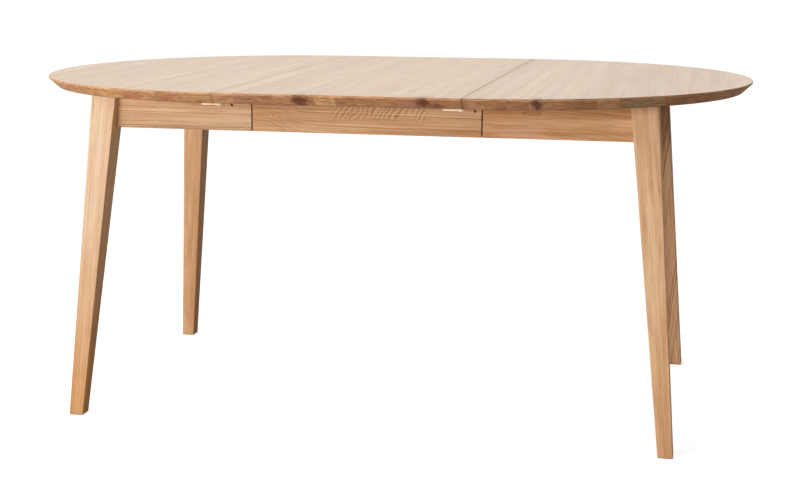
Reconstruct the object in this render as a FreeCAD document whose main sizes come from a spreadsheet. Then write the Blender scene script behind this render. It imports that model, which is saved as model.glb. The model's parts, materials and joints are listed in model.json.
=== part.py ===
import FreeCAD, Part
import math
import operator
import os
from types import SimpleNamespace

import Sketcher

# Extension dining table: two half-round ends on splayed legs, joined by telescoping wooden runners,
# with a separate centre leaf between them. Shown with the leaf in place.
# Frame: origin on the floor under the middle of the leaf, +X along the table, +Y to the rear, +Z up.
# The right rear quarter (+X, +Y) is modelled, and the other quarters are mirror images of it.

Vector = FreeCAD.Vector
doc = FreeCAD.newDocument("extension_table")

# ---------------------------------------------------------------- driving dimensions, in millimetres
SIZES = {
    "top_height": 750,
    "top_thick": 23,
    "round_radius": 550,       # radius of the round top that the two ends make when the table is closed
    "leaf_width": 500,
    "seam_gap": 0.4,
    "leaf_relief": 0.3,        # the leaf's underside stands this much above the halves' undersides
    "bevel_depth": 20,         # how far the under-bevel reaches in from the edge
    "edge_strip": 4,           # upright strip left at the edge above the bevel
    "arris_radius": 1,
    "seam_chamfer": 0.5,
    "apron_tall": 83,
    "apron_thick": 22,
    "apron_setback": 15,       # apron face behind the leg's outer face, at the top
    "apron_gap": 3,            # open joint between two lengths of apron
    "apron_chamfer": 1,
    "leg_corner_x": 610,       # outer corner of a leg under the top
    "leg_corner_y": 310,
    "leg_thick": 56,
    "foot_corner_x": 669,      # outer corner of a leg on the floor
    "foot_corner_y": 371,
    "foot_thick": 32,
    "leg_round": 2,
    "foot_chamfer": 2,
    "block_outer": 46,         # corner block: where its two long faces meet the aprons
    "block_inner": 83,
    "block_tall": 50,
    "block_drop": 22,          # top of the block below the top's underside
    "bolt_radius": 4,
    "bolt_tail": 12,           # bolt beyond the block, for washer and nut
    "bolt_reach": 74,          # bolt from the block's inner face to its tip in the leg
    "bolt_point": 6,
    "bolt_chamfer": 0.8,
    "bolt_spacing": 26,
    "washer_radius": 8,
    "washer_thick": 1.6,
    "washer_play": 0.2,
    "nut_flats": 13,
    "nut_tall": 6.5,
    "screw_radius": 2,
    "screw_head_radius": 4,
    "screw_head_rim": 0.3,
    "screw_head_tall": 2.4,
    "screw_reach": 28,
    "screw_point": 5,
    "screw_in_top": 10,        # how deep an upright screw bites into the top
    "screw_in_apron": 17,      # how deep a corner block's screw reaches past the block's far face
    "screw_access": 30,        # clear way behind a sunk screw head
    "hole_clearance": 0.05,
    "cleat_wide": 20,
    "cleat_tall": 18,
    "cleat_reach": 190,
    "leaf_cleat_reach": 400,
    "cleat_start": 40,         # from the seam to the near end of the long cleat
    "cleat_screw_step": 130,
    "runner_reach": 600,
    "runner_tall": 42,
    "runner_thick": 26,
    "outer_runner_y": 173,     # middle line of the left half's runner
    "runner_pitch": 26.5,      # from one runner's middle line to the next
    "middle_drop": 0.5,        # the middle runner hangs this much lower and never rubs the top
    "runner_screw_start": 50,
    "runner_screw_step": 120,
    "runner_screw_shift": 4,   # keeps screws clear of a groove
    "groove_depth": 7.6,
    "groove_mouth": 5.4,       # half height of the dovetail groove at its mouth
    "dovetail_slope": 0.4,
    "dovetail_fit": 0.4,
    "tongue_reach": 7,
    "stop_radius": 3,
    "stop_inset": 10,
    "stop_margin": 0.5,
    "pull_apart": 60,          # how far the halves part beyond the leaf
    "rail_wide": 60,
    "rail_thick": 16,
    "rail_screw_step": 30,
    "catch_y": 460,
    "catch_drop": 6,           # from the wood down to the lever
    "catch_thick": 4,
    "catch_radius": 6,
    "catch_reach": 37,         # from the pivot to the lever's tip
    "catch_pivot_inset": 16,
    "catch_play": 0.3,
    "catch_notch_radius": 3.2,
    "pivot_radius": 3,
    "pivot_clearance": 0.08,
    "collar_radius": 5,
    "pivot_head_radius": 5.5,
    "pivot_head_tall": 1.4,
    "pivot_head_chamfer": 0.5,
    "catch_pin_radius": 2.2,
    "catch_pin_offset": 12,    # from the seam to the keeper pin
    "catch_pin_gap": 0.6,      # from the closed lever down to the pin's head
    "pin_head_radius": 2.9,
    "pin_head_tall": 2.2,
    "pin_head_chamfer": 0.5,
    "catch_bite": 14,          # how deep pivots and pins go into the top
    "catch_point": 3,
}

OPERATIONS = {"+": operator.add, "-": operator.sub, "*": operator.mul, "/": operator.truediv}


class Formula:
    """A length worked out from the driving dimensions.

    It carries its text, which binds an object's size to the spreadsheet, and its present value.
    """

    def __init__(self, text, value):
        self.text = text
        self.value = value

    def __add__(self, other):
        return combine(self, "+", other)

    def __radd__(self, other):
        return combine(other, "+", self)

    def __sub__(self, other):
        return combine(self, "-", other)

    def __rsub__(self, other):
        return combine(other, "-", self)

    def __mul__(self, other):
        return combine(self, "*", other)

    def __rmul__(self, other):
        return combine(other, "*", self)

    def __truediv__(self, other):
        return combine(self, "/", other)

    def __neg__(self):
        return combine(0, "-", self)


def formula(item):
    """The item itself if it is a formula, or a formula that holds a plain number."""
    return item if isinstance(item, Formula) else Formula(str(item), item)


def combine(left, sign, right):
    """The formula for two items joined by an arithmetic sign."""
    left, right = formula(left), formula(right)
    value = OPERATIONS[sign](left.value, right.value)
    return Formula(f"({left.text} {sign} {right.text})", value)


def fill_sheet():
    """Puts every driving dimension in a named cell and returns the names as formulas."""
    sheet = doc.addObject("Spreadsheet::Sheet", "sizes")
    cells = {}
    for row, (name, value) in enumerate(SIZES.items(), start=1):
        sheet.set(f"A{row}", name)
        sheet.set(f"B{row}", str(value))
        sheet.setAlias(f"B{row}", name)
        cells[name] = Formula(f"sizes.{name}", value)
    doc.recompute()
    return SimpleNamespace(**cells)


dim = fill_sheet()

# ---------------------------------------------------------------- lines shared by several pieces
SEAM = dim.leaf_width / 2
UNDERSIDE = dim.top_height - dim.top_thick
LEAF_UNDERSIDE = UNDERSIDE + dim.leaf_relief
APRON_BOTTOM = UNDERSIDE - dim.apron_tall
LONG_APRON_INNER = dim.leg_corner_y - dim.apron_setback - dim.apron_thick
END_APRON_INNER = dim.leg_corner_x - dim.apron_setback - dim.apron_thick
LEG_INNER_X = dim.leg_corner_x - dim.leg_thick
LEG_INNER_Y = dim.leg_corner_y - dim.leg_thick
LEG_SLOPE_X = (dim.foot_corner_x - dim.foot_thick - LEG_INNER_X) / UNDERSIDE
LEG_SLOPE_Y = (dim.foot_corner_y - dim.foot_thick - LEG_INNER_Y) / UNDERSIDE
BLOCK_MIDDLE_HEIGHT = UNDERSIDE - dim.block_drop - dim.block_tall / 2
CLEAT_BOTTOM = UNDERSIDE - dim.cleat_tall
SCREW_HEAD_HEIGHT = UNDERSIDE + dim.screw_in_top - dim.screw_reach
DOVETAIL_HEIGHT = UNDERSIDE - dim.runner_tall / 2
MIDDLE_RUNNER_Y = dim.outer_runner_y - dim.runner_pitch
INNER_RUNNER_Y = dim.outer_runner_y - 2 * dim.runner_pitch
RAIL_BOTTOM = UNDERSIDE - dim.runner_tall - dim.middle_drop - dim.rail_thick

UP = FreeCAD.Rotation()
TO_REAR = FreeCAD.Rotation(Vector(0, 0, 1), Vector(0, 1, 0))
TO_RIGHT = FreeCAD.Rotation(Vector(0, 0, 1), Vector(1, 0, 0))
TO_LEG = FreeCAD.Rotation(Vector(0, 0, 1), Vector(1, 1, 0))
FLAT = 0.01                    # how closely an edge must lie in a plane to be picked


# ---------------------------------------------------------------- small helpers
def bind(item, name, length):
    """Ties one property of an object to a formula."""
    item.setExpression(name, formula(length).text)


def place(item, x=0, y=0, z=0, turn=UP):
    """Puts an object at a place given by formulas, after an optional turn."""
    item.Placement = FreeCAD.Placement(Vector(), turn)
    for axis, length in zip("xyz", (x, y, z)):
        bind(item, f"Placement.Base.{axis}", length)
    return item


def outline(body, role, corners, offset=0):
    """A closed sketch of straight lines on one of the body's origin planes.

    Each corner is a pair of formulas that hold it across and up the plane.
    """
    sketch = body.newObject("Sketcher::SketchObject", body.Name + "_outline")
    plane = next(item for item in body.Origin.OriginFeatures if item.Role == role)
    sketch.AttachmentSupport = [(plane, "")]
    sketch.MapMode = "FlatFace"
    bind(sketch, "AttachmentOffset.Base.z", offset)
    holds = [(formula(across), formula(along)) for across, along in corners]
    points = [Vector(across.value, along.value, 0) for across, along in holds]
    following = points[1:] + points[:1]
    for start, end in zip(points, following):
        sketch.addGeometry(Part.LineSegment(start, end), False)
    for index in range(len(points)):
        after = (index + 1) % len(points)
        sketch.addConstraint(Sketcher.Constraint("Coincident", index, 2, after, 1))
    for index, (across, along) in enumerate(holds):
        for kind, length in (("DistanceX", across), ("DistanceY", along)):
            hold = Sketcher.Constraint(kind, -1, 1, index, 1, length.value)
            bind(sketch, f"Constraints[{sketch.addConstraint(hold)}]", length)
    return sketch


def add_pad(body, sketch, length, reverse=False):
    """Extrudes a sketch inside its body."""
    pad = body.newObject("PartDesign::Pad", body.Name + "_pad")
    pad.Profile = sketch
    bind(pad, "Length", length)
    pad.Reversed = reverse
    body.Tip = pad
    return body


def board(label, role, corners, length, offset=0, reverse=False):
    """A body made by extruding one outline: the usual piece of planed wood."""
    body = doc.addObject("PartDesign::Body", label)
    return add_pad(body, outline(body, role, corners, offset), length, reverse)


def turned(label, corners, angle=360):
    """A body made by revolving an outline, given as (radius, height), about its upright axis."""
    body = doc.addObject("PartDesign::Body", label)
    turn = body.newObject("PartDesign::Revolution", label + "_turn")
    sketch = outline(body, "XZ_Plane", corners)
    turn.Profile = sketch
    turn.ReferenceAxis = (sketch, ["V_Axis"])
    turn.Angle = angle
    turn.Midplane = True
    body.Tip = turn
    return body


def block(label, length, width, height):
    """A plain rectangular block."""
    box = doc.addObject("Part::Box", label)
    for name, amount in (("Length", length), ("Width", width), ("Height", height)):
        bind(box, name, amount)
    return box


def rod(label, radius, height):
    """A plain round rod."""
    cylinder = doc.addObject("Part::Cylinder", label)
    bind(cylinder, "Radius", radius)
    bind(cylinder, "Height", height)
    return cylinder


def group(label, items):
    """Several solids kept together in one object."""
    compound = doc.addObject("Part::Compound", label)
    compound.Links = items
    return compound


def joined(label, items):
    """Several solids made into one."""
    fusion = doc.addObject("Part::MultiFuse", label)
    fusion.Shapes = items
    fusion.Refine = True
    return fusion


def cut(label, base, tools):
    """The base with every tool taken out of it."""
    result = doc.addObject("Part::Cut", label)
    result.Base = base
    result.Tool = group(label + "_tools", tools)
    return result


def soften(label, kind, base, picked, amount):
    """Fillets or chamfers the edges of a finished solid that pass a test."""
    doc.recompute()
    result = doc.addObject(kind, label)
    result.Base = base
    width = formula(amount).value
    edges = enumerate(base.Shape.Edges, start=1)
    result.Edges = [(number, width, width) for number, edge in edges if picked(edge)]
    return result


def mirrored(label, source, normal):
    """A mirror image across a plane through the frame's origin."""
    image = doc.addObject("Part::Mirroring", label)
    image.Source = source
    image.Base = Vector()
    image.Normal = normal
    return image


def to_left(label, source):
    """The same thing at the other end of the table."""
    return mirrored(label, source, Vector(1, 0, 0))


def to_front(label, source):
    """The same thing at the front of the table."""
    return mirrored(label, source, Vector(0, 1, 0))


def both_sides(label, source):
    """A rear item together with its image at the front."""
    return group(label, [source, to_front(label + "_front", source)])


def copies(label, master, spots, turn=UP):
    """A group of linked copies of a master, one at each spot."""
    links = []
    for number, (x, y, z) in enumerate(spots, start=1):
        link = doc.addObject("App::Link", f"{label}_{number}")
        link.LinkedObject = master
        links.append(place(link, x, y, z, turn))
    return group(label, links)


# ---------------------------------------------------------------- fasteners, each modelled once
def wood_screw(label, clearance=0, access=0):
    """A countersunk wood screw, tip up, its head's flat face at height 0.

    With a clearance and an access it is the hole for that screw, open behind the head.
    """
    head = dim.screw_head_radius + clearance
    shank = dim.screw_radius + clearance
    return turned(label, [
        (0, -formula(access)),
        (head, -formula(access)),
        (head, dim.screw_head_rim + clearance),
        (shank, dim.screw_head_tall + clearance),
        (shank, dim.screw_reach - dim.screw_point + clearance),
        (0, dim.screw_reach + 2 * clearance),
    ])


def hexagon_nut():
    """A plain hexagon nut, its lower face at height 0."""
    prism = doc.addObject("Part::Prism", "nut_prism")
    prism.Polygon = 6
    bind(prism, "Circumradius", dim.nut_flats / round(math.sqrt(3), 6))
    bind(prism, "Height", dim.nut_tall)
    bore = rod("nut_bore", dim.bolt_radius + dim.hole_clearance, 3 * dim.nut_tall)
    return cut("hexagon_nut", prism, [place(bore, z=-dim.nut_tall)])


screw = wood_screw("wood_screw")
screw_hole = wood_screw("wood_screw_hole", dim.hole_clearance, dim.screw_access)
nut = hexagon_nut()
hanger_bolt = turned("hanger_bolt", [
    (0, -dim.bolt_tail),
    (dim.bolt_radius - dim.bolt_chamfer, -dim.bolt_tail),
    (dim.bolt_radius, dim.bolt_chamfer - dim.bolt_tail),
    (dim.bolt_radius, dim.bolt_reach - dim.bolt_point),
    (0, dim.bolt_reach),
])
bolt_hole = turned("bolt_hole", [
    (0, -dim.bolt_tail),
    (dim.bolt_radius + dim.hole_clearance, -dim.bolt_tail),
    (dim.bolt_radius + dim.hole_clearance, dim.bolt_reach - dim.bolt_point + dim.hole_clearance),
    (0, dim.bolt_reach + 2 * dim.hole_clearance),
])
washer = turned("washer", [
    (dim.bolt_radius + dim.washer_play, -dim.washer_thick),
    (dim.washer_radius, -dim.washer_thick),
    (dim.washer_radius, 0),
    (dim.bolt_radius + dim.washer_play, 0),
])


# ---------------------------------------------------------------- leg, its bolts and corner block
def leg_view(label, role, top_outer, foot_outer, reverse):
    """The leg's outline from one side, straight from foot to top, run right through."""
    corners = [
        (foot_outer - dim.foot_thick, 0),
        (foot_outer, 0),
        (top_outer, UNDERSIDE),
        (top_outer - dim.leg_thick, UNDERSIDE),
    ]
    return board(label, role, corners, 2 * dim.foot_corner_x, reverse=reverse)


def leg():
    """The leg is what its front view and its side view have in common, with softened edges."""
    blank = doc.addObject("Part::Common", "leg_blank")
    blank.Base = leg_view("leg_front_view", "XZ_Plane", dim.leg_corner_x, dim.foot_corner_x, True)
    blank.Tool = leg_view("leg_side_view", "YZ_Plane", dim.leg_corner_y, dim.foot_corner_y, False)

    def at_foot(edge):
        return edge.BoundBox.ZMax < FLAT

    def along_leg(edge):
        return edge.BoundBox.ZLength > UNDERSIDE.value / 2

    eased = soften("leg_foot_eased", "Part::Chamfer", blank, at_foot, dim.foot_chamfer)
    return soften("leg_rounded", "Part::Fillet", eased, along_leg, dim.leg_round)


def corner_block():
    """A block across the corner of the frame, between the two aprons."""
    corners = [
        (END_APRON_INNER - dim.block_outer, LONG_APRON_INNER),
        (END_APRON_INNER - dim.block_inner, LONG_APRON_INNER),
        (END_APRON_INNER, LONG_APRON_INNER - dim.block_inner),
        (END_APRON_INNER, LONG_APRON_INNER - dim.block_outer),
    ]
    return board("corner_block_blank", "XY_Plane", corners, dim.block_tall,
                 offset=BLOCK_MIDDLE_HEIGHT - dim.block_tall / 2)


def bolt_spots(back=0):
    """Where the two hanger bolts leave the corner block, moved back along them by a distance."""
    shift = dim.block_inner / 2 + formula(back) * round(math.sqrt(0.5), 6)
    return [(END_APRON_INNER - shift, LONG_APRON_INNER - shift,
             BLOCK_MIDDLE_HEIGHT + side * dim.bolt_spacing / 2) for side in (-1, 1)]


def block_screws_at(label, master):
    """The screws, or their holes, that fix one corner block to both its aprons."""
    middle = (dim.block_outer + dim.block_inner) / 2
    sunk = dim.screw_reach - dim.screw_in_apron
    long_spot = (END_APRON_INNER - middle, LONG_APRON_INNER - sunk, BLOCK_MIDDLE_HEIGHT)
    end_spot = (END_APRON_INNER - sunk, LONG_APRON_INNER - middle, BLOCK_MIDDLE_HEIGHT)
    return group(label, [
        copies(label + "_long", master, [long_spot], TO_REAR),
        copies(label + "_end", master, [end_spot], TO_RIGHT),
    ])


leg_bolt_holes = copies("leg_bolt_holes", bolt_hole, bolt_spots(), TO_LEG)
leg_bolts = copies("leg_bolt_pair", hanger_bolt, bolt_spots(), TO_LEG)
leg_washers = copies("leg_washer_pair", washer, bolt_spots(), TO_LEG)
leg_nuts = copies("leg_nut_pair", nut, bolt_spots(dim.washer_thick + dim.nut_tall), TO_LEG)
block_screws = block_screws_at("block_screw_pair", screw)
block_holes = block_screws_at("block_hole_pair", screw_hole)

rear_leg = cut("right_rear_leg", leg(), [leg_bolt_holes])
rear_block = cut("right_rear_corner_block", corner_block(), [leg_bolt_holes, block_holes])


# ---------------------------------------------------------------- aprons
def eased_below(label, base):
    """An apron blank with its two long lower edges chamfered."""
    bottom = APRON_BOTTOM.value

    def long_and_low(edge):
        box = edge.BoundBox
        return box.ZMax < bottom + FLAT and box.DiagonalLength > 2 * dim.apron_thick.value

    return soften(label, "Part::Chamfer", base, long_and_low, dim.apron_chamfer)


def long_apron():
    """The apron from the seam to the leg, its far end cut to the leg's slope."""
    near = SEAM + dim.apron_gap / 2
    corners = [
        (near, APRON_BOTTOM),
        (LEG_INNER_X + LEG_SLOPE_X * dim.apron_tall, APRON_BOTTOM),
        (LEG_INNER_X, UNDERSIDE),
        (near, UNDERSIDE),
    ]
    blank = board("long_apron_blank", "XZ_Plane", corners, dim.apron_thick,
                  offset=-LONG_APRON_INNER, reverse=True)
    return eased_below("long_apron_eased", blank)


def end_apron():
    """The apron across the end, between two legs, both its ends cut to the legs' slope."""
    low = LEG_INNER_Y + LEG_SLOPE_Y * dim.apron_tall
    corners = [
        (-low, APRON_BOTTOM),
        (low, APRON_BOTTOM),
        (LEG_INNER_Y, UNDERSIDE),
        (-LEG_INNER_Y, UNDERSIDE),
    ]
    blank = board("end_apron_blank", "YZ_Plane", corners, dim.apron_thick, offset=END_APRON_INNER)
    return eased_below("end_apron_eased", blank)


def leaf_apron():
    """The leaf's own length of apron."""
    reach = dim.leaf_width - dim.apron_gap
    box = block("leaf_apron_blank", reach, dim.apron_thick, dim.apron_tall + dim.leaf_relief)
    place(box, -reach / 2, LONG_APRON_INNER, APRON_BOTTOM)
    return eased_below("leaf_rear_apron", box)


rear_apron = cut("right_rear_apron", long_apron(), [block_holes])
right_end_apron = cut("right_end_apron", end_apron(), [both_sides("end_block_holes", block_holes)])
leaf_rear_apron = leaf_apron()


# ---------------------------------------------------------------- cleats under the tops
def half_cleats():
    """The rear, front and end cleats of the right half, before drilling."""
    long_cleat = block("long_cleat", dim.cleat_reach, dim.cleat_wide, dim.cleat_tall)
    place(long_cleat, SEAM + dim.cleat_start, LONG_APRON_INNER - dim.cleat_wide, CLEAT_BOTTOM)
    end_cleat = block("end_cleat", dim.cleat_wide, dim.cleat_reach, dim.cleat_tall)
    place(end_cleat, END_APRON_INNER - dim.cleat_wide, -dim.cleat_reach / 2, CLEAT_BOTTOM)
    return group("half_cleat_blanks", [both_sides("long_cleats", long_cleat), end_cleat])


def half_cleat_screws(label, master):
    """The six upright screws, or their holes, that hold the right half's top to its cleats."""
    middle = SEAM + dim.cleat_start + dim.cleat_reach / 2
    long_spots = [(middle + side * dim.cleat_screw_step / 2,
                   LONG_APRON_INNER - dim.cleat_wide / 2, SCREW_HEAD_HEIGHT) for side in (-1, 1)]
    end_spots = [(END_APRON_INNER - dim.cleat_wide / 2,
                  side * dim.cleat_screw_step / 2, SCREW_HEAD_HEIGHT) for side in (-1, 1)]
    long_ones = both_sides(label + "_pairs", copies(label + "_long", master, long_spots))
    return group(label, [long_ones, copies(label + "_end", master, end_spots)])


def leaf_cleat_screws(label, master):
    """The six upright screws, or their holes, in the leaf's two cleats."""
    spots = [(step * dim.cleat_screw_step, LONG_APRON_INNER - dim.cleat_wide / 2,
              SCREW_HEAD_HEIGHT + dim.leaf_relief) for step in (-1, 0, 1)]
    return both_sides(label, copies(label + "_rear", master, spots))


def leaf_cleats():
    """The leaf's rear and front cleats, before drilling."""
    cleat = block("leaf_cleat", dim.leaf_cleat_reach, dim.cleat_wide, dim.cleat_tall)
    place(cleat, -dim.leaf_cleat_reach / 2, LONG_APRON_INNER - dim.cleat_wide,
          CLEAT_BOTTOM + dim.leaf_relief)
    return both_sides("leaf_cleat_blanks", cleat)


half_cleat_holes = half_cleat_screws("half_cleat_holes", screw_hole)
right_cleat_screws = half_cleat_screws("right_cleat_screws", screw)
right_cleats = cut("right_top_cleats", half_cleats(), [half_cleat_holes])
leaf_cleat_holes = leaf_cleat_screws("leaf_cleat_holes", screw_hole)
leaf_screws = leaf_cleat_screws("leaf_cleat_screws", screw)
leaf_cleat_strips = cut("leaf_cleats", leaf_cleats(), [leaf_cleat_holes])


# ---------------------------------------------------------------- telescoping runners
# Each side of the table has three runners, side by side. The left half carries the outer one and the
# right half the inner one. The middle one runs between them on dovetail tongues.
LEFT_RUNNER_START = -END_APRON_INNER
MIDDLE_RUNNER_START = -dim.runner_reach / 2
RIGHT_RUNNER_START = END_APRON_INNER - dim.runner_reach
LEFT_STOP_X = LEFT_RUNNER_START + dim.runner_reach - dim.stop_inset
MIDDLE_STOP_X = MIDDLE_RUNNER_START + dim.runner_reach - dim.stop_inset
STOP_ROOM = dim.stop_radius + dim.pull_apart / 2 + dim.stop_margin


def groove(face):
    """Corners of a dovetail groove cut in from a runner's inner face, widening as it goes in."""
    mouth = dim.groove_mouth
    floor = mouth + dim.dovetail_slope * dim.groove_depth
    return [
        (face, DOVETAIL_HEIGHT + mouth),
        (face + dim.groove_depth, DOVETAIL_HEIGHT + floor),
        (face + dim.groove_depth, DOVETAIL_HEIGHT - floor),
        (face, DOVETAIL_HEIGHT - mouth),
    ]


def tongue(face):
    """Corners of a dovetail tongue that stands out from a runner into the next one's groove."""
    root = (dim.groove_mouth - dim.dovetail_fit
            - dim.dovetail_slope * (dim.runner_pitch - dim.runner_thick))
    tip = root + dim.dovetail_slope * dim.tongue_reach
    return [
        (face, DOVETAIL_HEIGHT - root),
        (face + dim.tongue_reach, DOVETAIL_HEIGHT - tip),
        (face + dim.tongue_reach, DOVETAIL_HEIGHT + tip),
        (face, DOVETAIL_HEIGHT + root),
    ]


def runner(label, middle_y, start, drop=0, grooved=False, tongue_end=None):
    """A runner along the table, with a groove towards the middle and a tongue towards the rear."""
    body = doc.addObject("PartDesign::Body", label)
    near = middle_y - dim.runner_thick / 2
    far = middle_y + dim.runner_thick / 2
    high = UNDERSIDE - drop
    low = high - dim.runner_tall
    corners = [(near, low), (far, low), (far, high), (near, high)]
    if grooved:
        corners += groove(near)
    add_pad(body, outline(body, "YZ_Plane", corners, start), dim.runner_reach)
    if tongue_end is not None:
        add_pad(body, outline(body, "YZ_Plane", tongue(far), start), tongue_end - start)
    return body


def stop_pin(label, x, runner_y, drop=0, clearance=0):
    """An upright pin, or its hole, that crosses a runner's groove and ends the tongue's travel."""
    pin = rod(label, dim.stop_radius + clearance, dim.runner_tall)
    return place(pin, x, runner_y - dim.runner_thick / 2 + dim.groove_depth / 2,
                 UNDERSIDE - dim.runner_tall - drop)


def runner_screws(label, master, side, y):
    """Three upright screws, or their holes, through a runner into the top of one half."""
    spots = [(side * (SEAM + dim.runner_screw_start + step * dim.runner_screw_step), y,
              SCREW_HEAD_HEIGHT) for step in range(3)]
    return both_sides(label, copies(label + "_rear", master, spots))


def rail_screws(label, master):
    """The four upright screws, or their holes, that join the cross rail to the middle runners."""
    spots = [(side * dim.rail_screw_step / 2, MIDDLE_RUNNER_Y + dim.runner_screw_shift,
              RAIL_BOTTOM) for side in (-1, 1)]
    return both_sides(label, copies(label + "_rear", master, spots))


def cross_rail():
    """The rail under the middle runners that makes them move as one, before drilling."""
    reach = MIDDLE_RUNNER_Y + dim.runner_thick / 2
    rail = block("cross_rail_blank", dim.rail_wide, 2 * reach, dim.rail_thick)
    return place(rail, -dim.rail_wide / 2, -reach, RAIL_BOTTOM)


left_screw_y = dim.outer_runner_y + dim.runner_screw_shift
left_runner_holes = runner_screws("left_runner_holes", screw_hole, -1, left_screw_y)
right_runner_holes = runner_screws("right_runner_holes", screw_hole, 1, INNER_RUNNER_Y)
left_runner_screws = runner_screws("left_runner_screws", screw, -1, left_screw_y)
right_runner_screws = runner_screws("right_runner_screws", screw, 1, INNER_RUNNER_Y)
rail_holes = rail_screws("rail_holes", screw_hole)
cross_rail_screws = rail_screws("cross_rail_screws", screw)

left_stop = stop_pin("left_stop", LEFT_STOP_X, dim.outer_runner_y)
left_stop_hole = stop_pin("left_stop_hole", LEFT_STOP_X, dim.outer_runner_y,
                          clearance=dim.hole_clearance)
middle_stop = stop_pin("middle_stop", MIDDLE_STOP_X, MIDDLE_RUNNER_Y, dim.middle_drop)
middle_stop_hole = stop_pin("middle_stop_hole", MIDDLE_STOP_X, MIDDLE_RUNNER_Y, dim.middle_drop,
                            clearance=dim.hole_clearance)

left_blank_runner = runner("left_runner_blank", dim.outer_runner_y, LEFT_RUNNER_START, grooved=True)
middle_blank_runner = runner("middle_runner_blank", MIDDLE_RUNNER_Y, MIDDLE_RUNNER_START,
                             dim.middle_drop, grooved=True, tongue_end=LEFT_STOP_X - STOP_ROOM)
right_blank_runner = runner("right_runner_blank", INNER_RUNNER_Y, RIGHT_RUNNER_START,
                            tongue_end=MIDDLE_STOP_X - STOP_ROOM)
rear_runners = {
    "left": cut("left_rear_runner", left_blank_runner, [left_runner_holes, left_stop_hole]),
    "middle": cut("middle_rear_runner", middle_blank_runner, [rail_holes, middle_stop_hole]),
    "right": cut("right_rear_runner", right_blank_runner, [right_runner_holes]),
}
middle_cross_rail = cut("middle_cross_rail", cross_rail(), [rail_holes])


# ---------------------------------------------------------------- leaf catches
def catch_lever():
    """A flat brass lever with round ends and a notch in its inner side that hooks a pin.

    It points to the left from its pivot. The pivot is at the origin, on the underside of the wood.
    """
    arm = dim.catch_reach - dim.catch_radius
    notch_place = dim.catch_pivot_inset + dim.catch_pin_offset
    bottom = -dim.catch_drop - dim.catch_thick
    through = 3 * dim.catch_thick
    below = bottom - dim.catch_thick
    blank = joined("lever_blank", [
        place(rod("lever_pivot_end", dim.catch_radius, dim.catch_thick), z=bottom),
        place(rod("lever_tip_end", dim.catch_radius, dim.catch_thick), -arm, z=bottom),
        place(block("lever_arm", arm, 2 * dim.catch_radius, dim.catch_thick),
              -arm, -dim.catch_radius, bottom),
    ])
    bore = place(rod("lever_bore", dim.pivot_radius + dim.pivot_clearance, through), z=below)
    seat = place(rod("notch_seat", dim.catch_notch_radius, through), -notch_place, z=below)
    mouth = place(block("notch_mouth", 2 * dim.catch_notch_radius, 2 * dim.catch_radius, through),
                  -notch_place - dim.catch_notch_radius, -2 * dim.catch_radius, below)
    return cut("catch_lever", blank, [bore, seat, mouth])


def shouldered_screw():
    """The screw that a lever turns on: head, smooth shoulder, collar and the part held in the wood.

    The collar's upper face, which bears on the wood, is at height 0.
    """
    over_lever = dim.catch_play - dim.catch_drop
    under_lever = -dim.catch_drop - dim.catch_thick - dim.catch_play
    face = under_lever - dim.pivot_head_tall
    return turned("pivot_screw", [
        (0, face),
        (dim.pivot_head_radius - dim.pivot_head_chamfer, face),
        (dim.pivot_head_radius, face + dim.pivot_head_chamfer),
        (dim.pivot_head_radius, under_lever),
        (dim.pivot_radius, under_lever),
        (dim.pivot_radius, over_lever),
        (dim.collar_radius, over_lever),
        (dim.collar_radius, 0),
        (dim.screw_radius, 0),
        (dim.screw_radius, dim.catch_bite - dim.catch_point),
        (0, dim.catch_bite),
    ])


def headed_pin():
    """The pin that a closed lever hooks round, with a flat head that keeps the lever up."""
    head_top = -dim.catch_drop - dim.catch_thick - dim.catch_pin_gap
    face = head_top - dim.pin_head_tall
    return turned("keeper_pin", [
        (0, face),
        (dim.pin_head_radius - dim.pin_head_chamfer, face),
        (dim.pin_head_radius, face + dim.pin_head_chamfer),
        (dim.pin_head_radius, head_top),
        (dim.catch_pin_radius, head_top),
        (dim.catch_pin_radius, dim.catch_bite),
        (0, dim.catch_bite),
    ])


def catch_hole(label, radius, point):
    """The hole in the wood for a pivot screw or a keeper pin."""
    wide = radius + dim.hole_clearance
    return turned(label, [
        (0, -dim.catch_play),
        (wide, -dim.catch_play),
        (wide, dim.catch_bite - point + dim.hole_clearance),
        (0, dim.catch_bite + 2 * dim.hole_clearance),
    ])


lever = catch_lever()
pivot_screw = shouldered_screw()
keeper_pin = headed_pin()
pivot_hole = catch_hole("pivot_hole", dim.screw_radius, dim.catch_point)
pin_hole = catch_hole("pin_hole", dim.catch_pin_radius, 0)


def rear_catch_part(label, master, side, offset, wood):
    """One item on the catch line at the rear, counted along X from the left or the right seam.

    The wood is the height of the underside that carries the item.
    """
    return copies(label, master, [(side * SEAM + offset, dim.catch_y, wood)])


def catch_parts(label, master, side, offset, wood):
    """An item on the catch line at the rear and its image at the front."""
    return both_sides(label, rear_catch_part(label + "_rear", master, side, offset, wood))


LEFT, RIGHT = -1, 1
TO_PIVOT = -dim.catch_pivot_inset
TO_PIN = dim.catch_pin_offset

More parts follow.
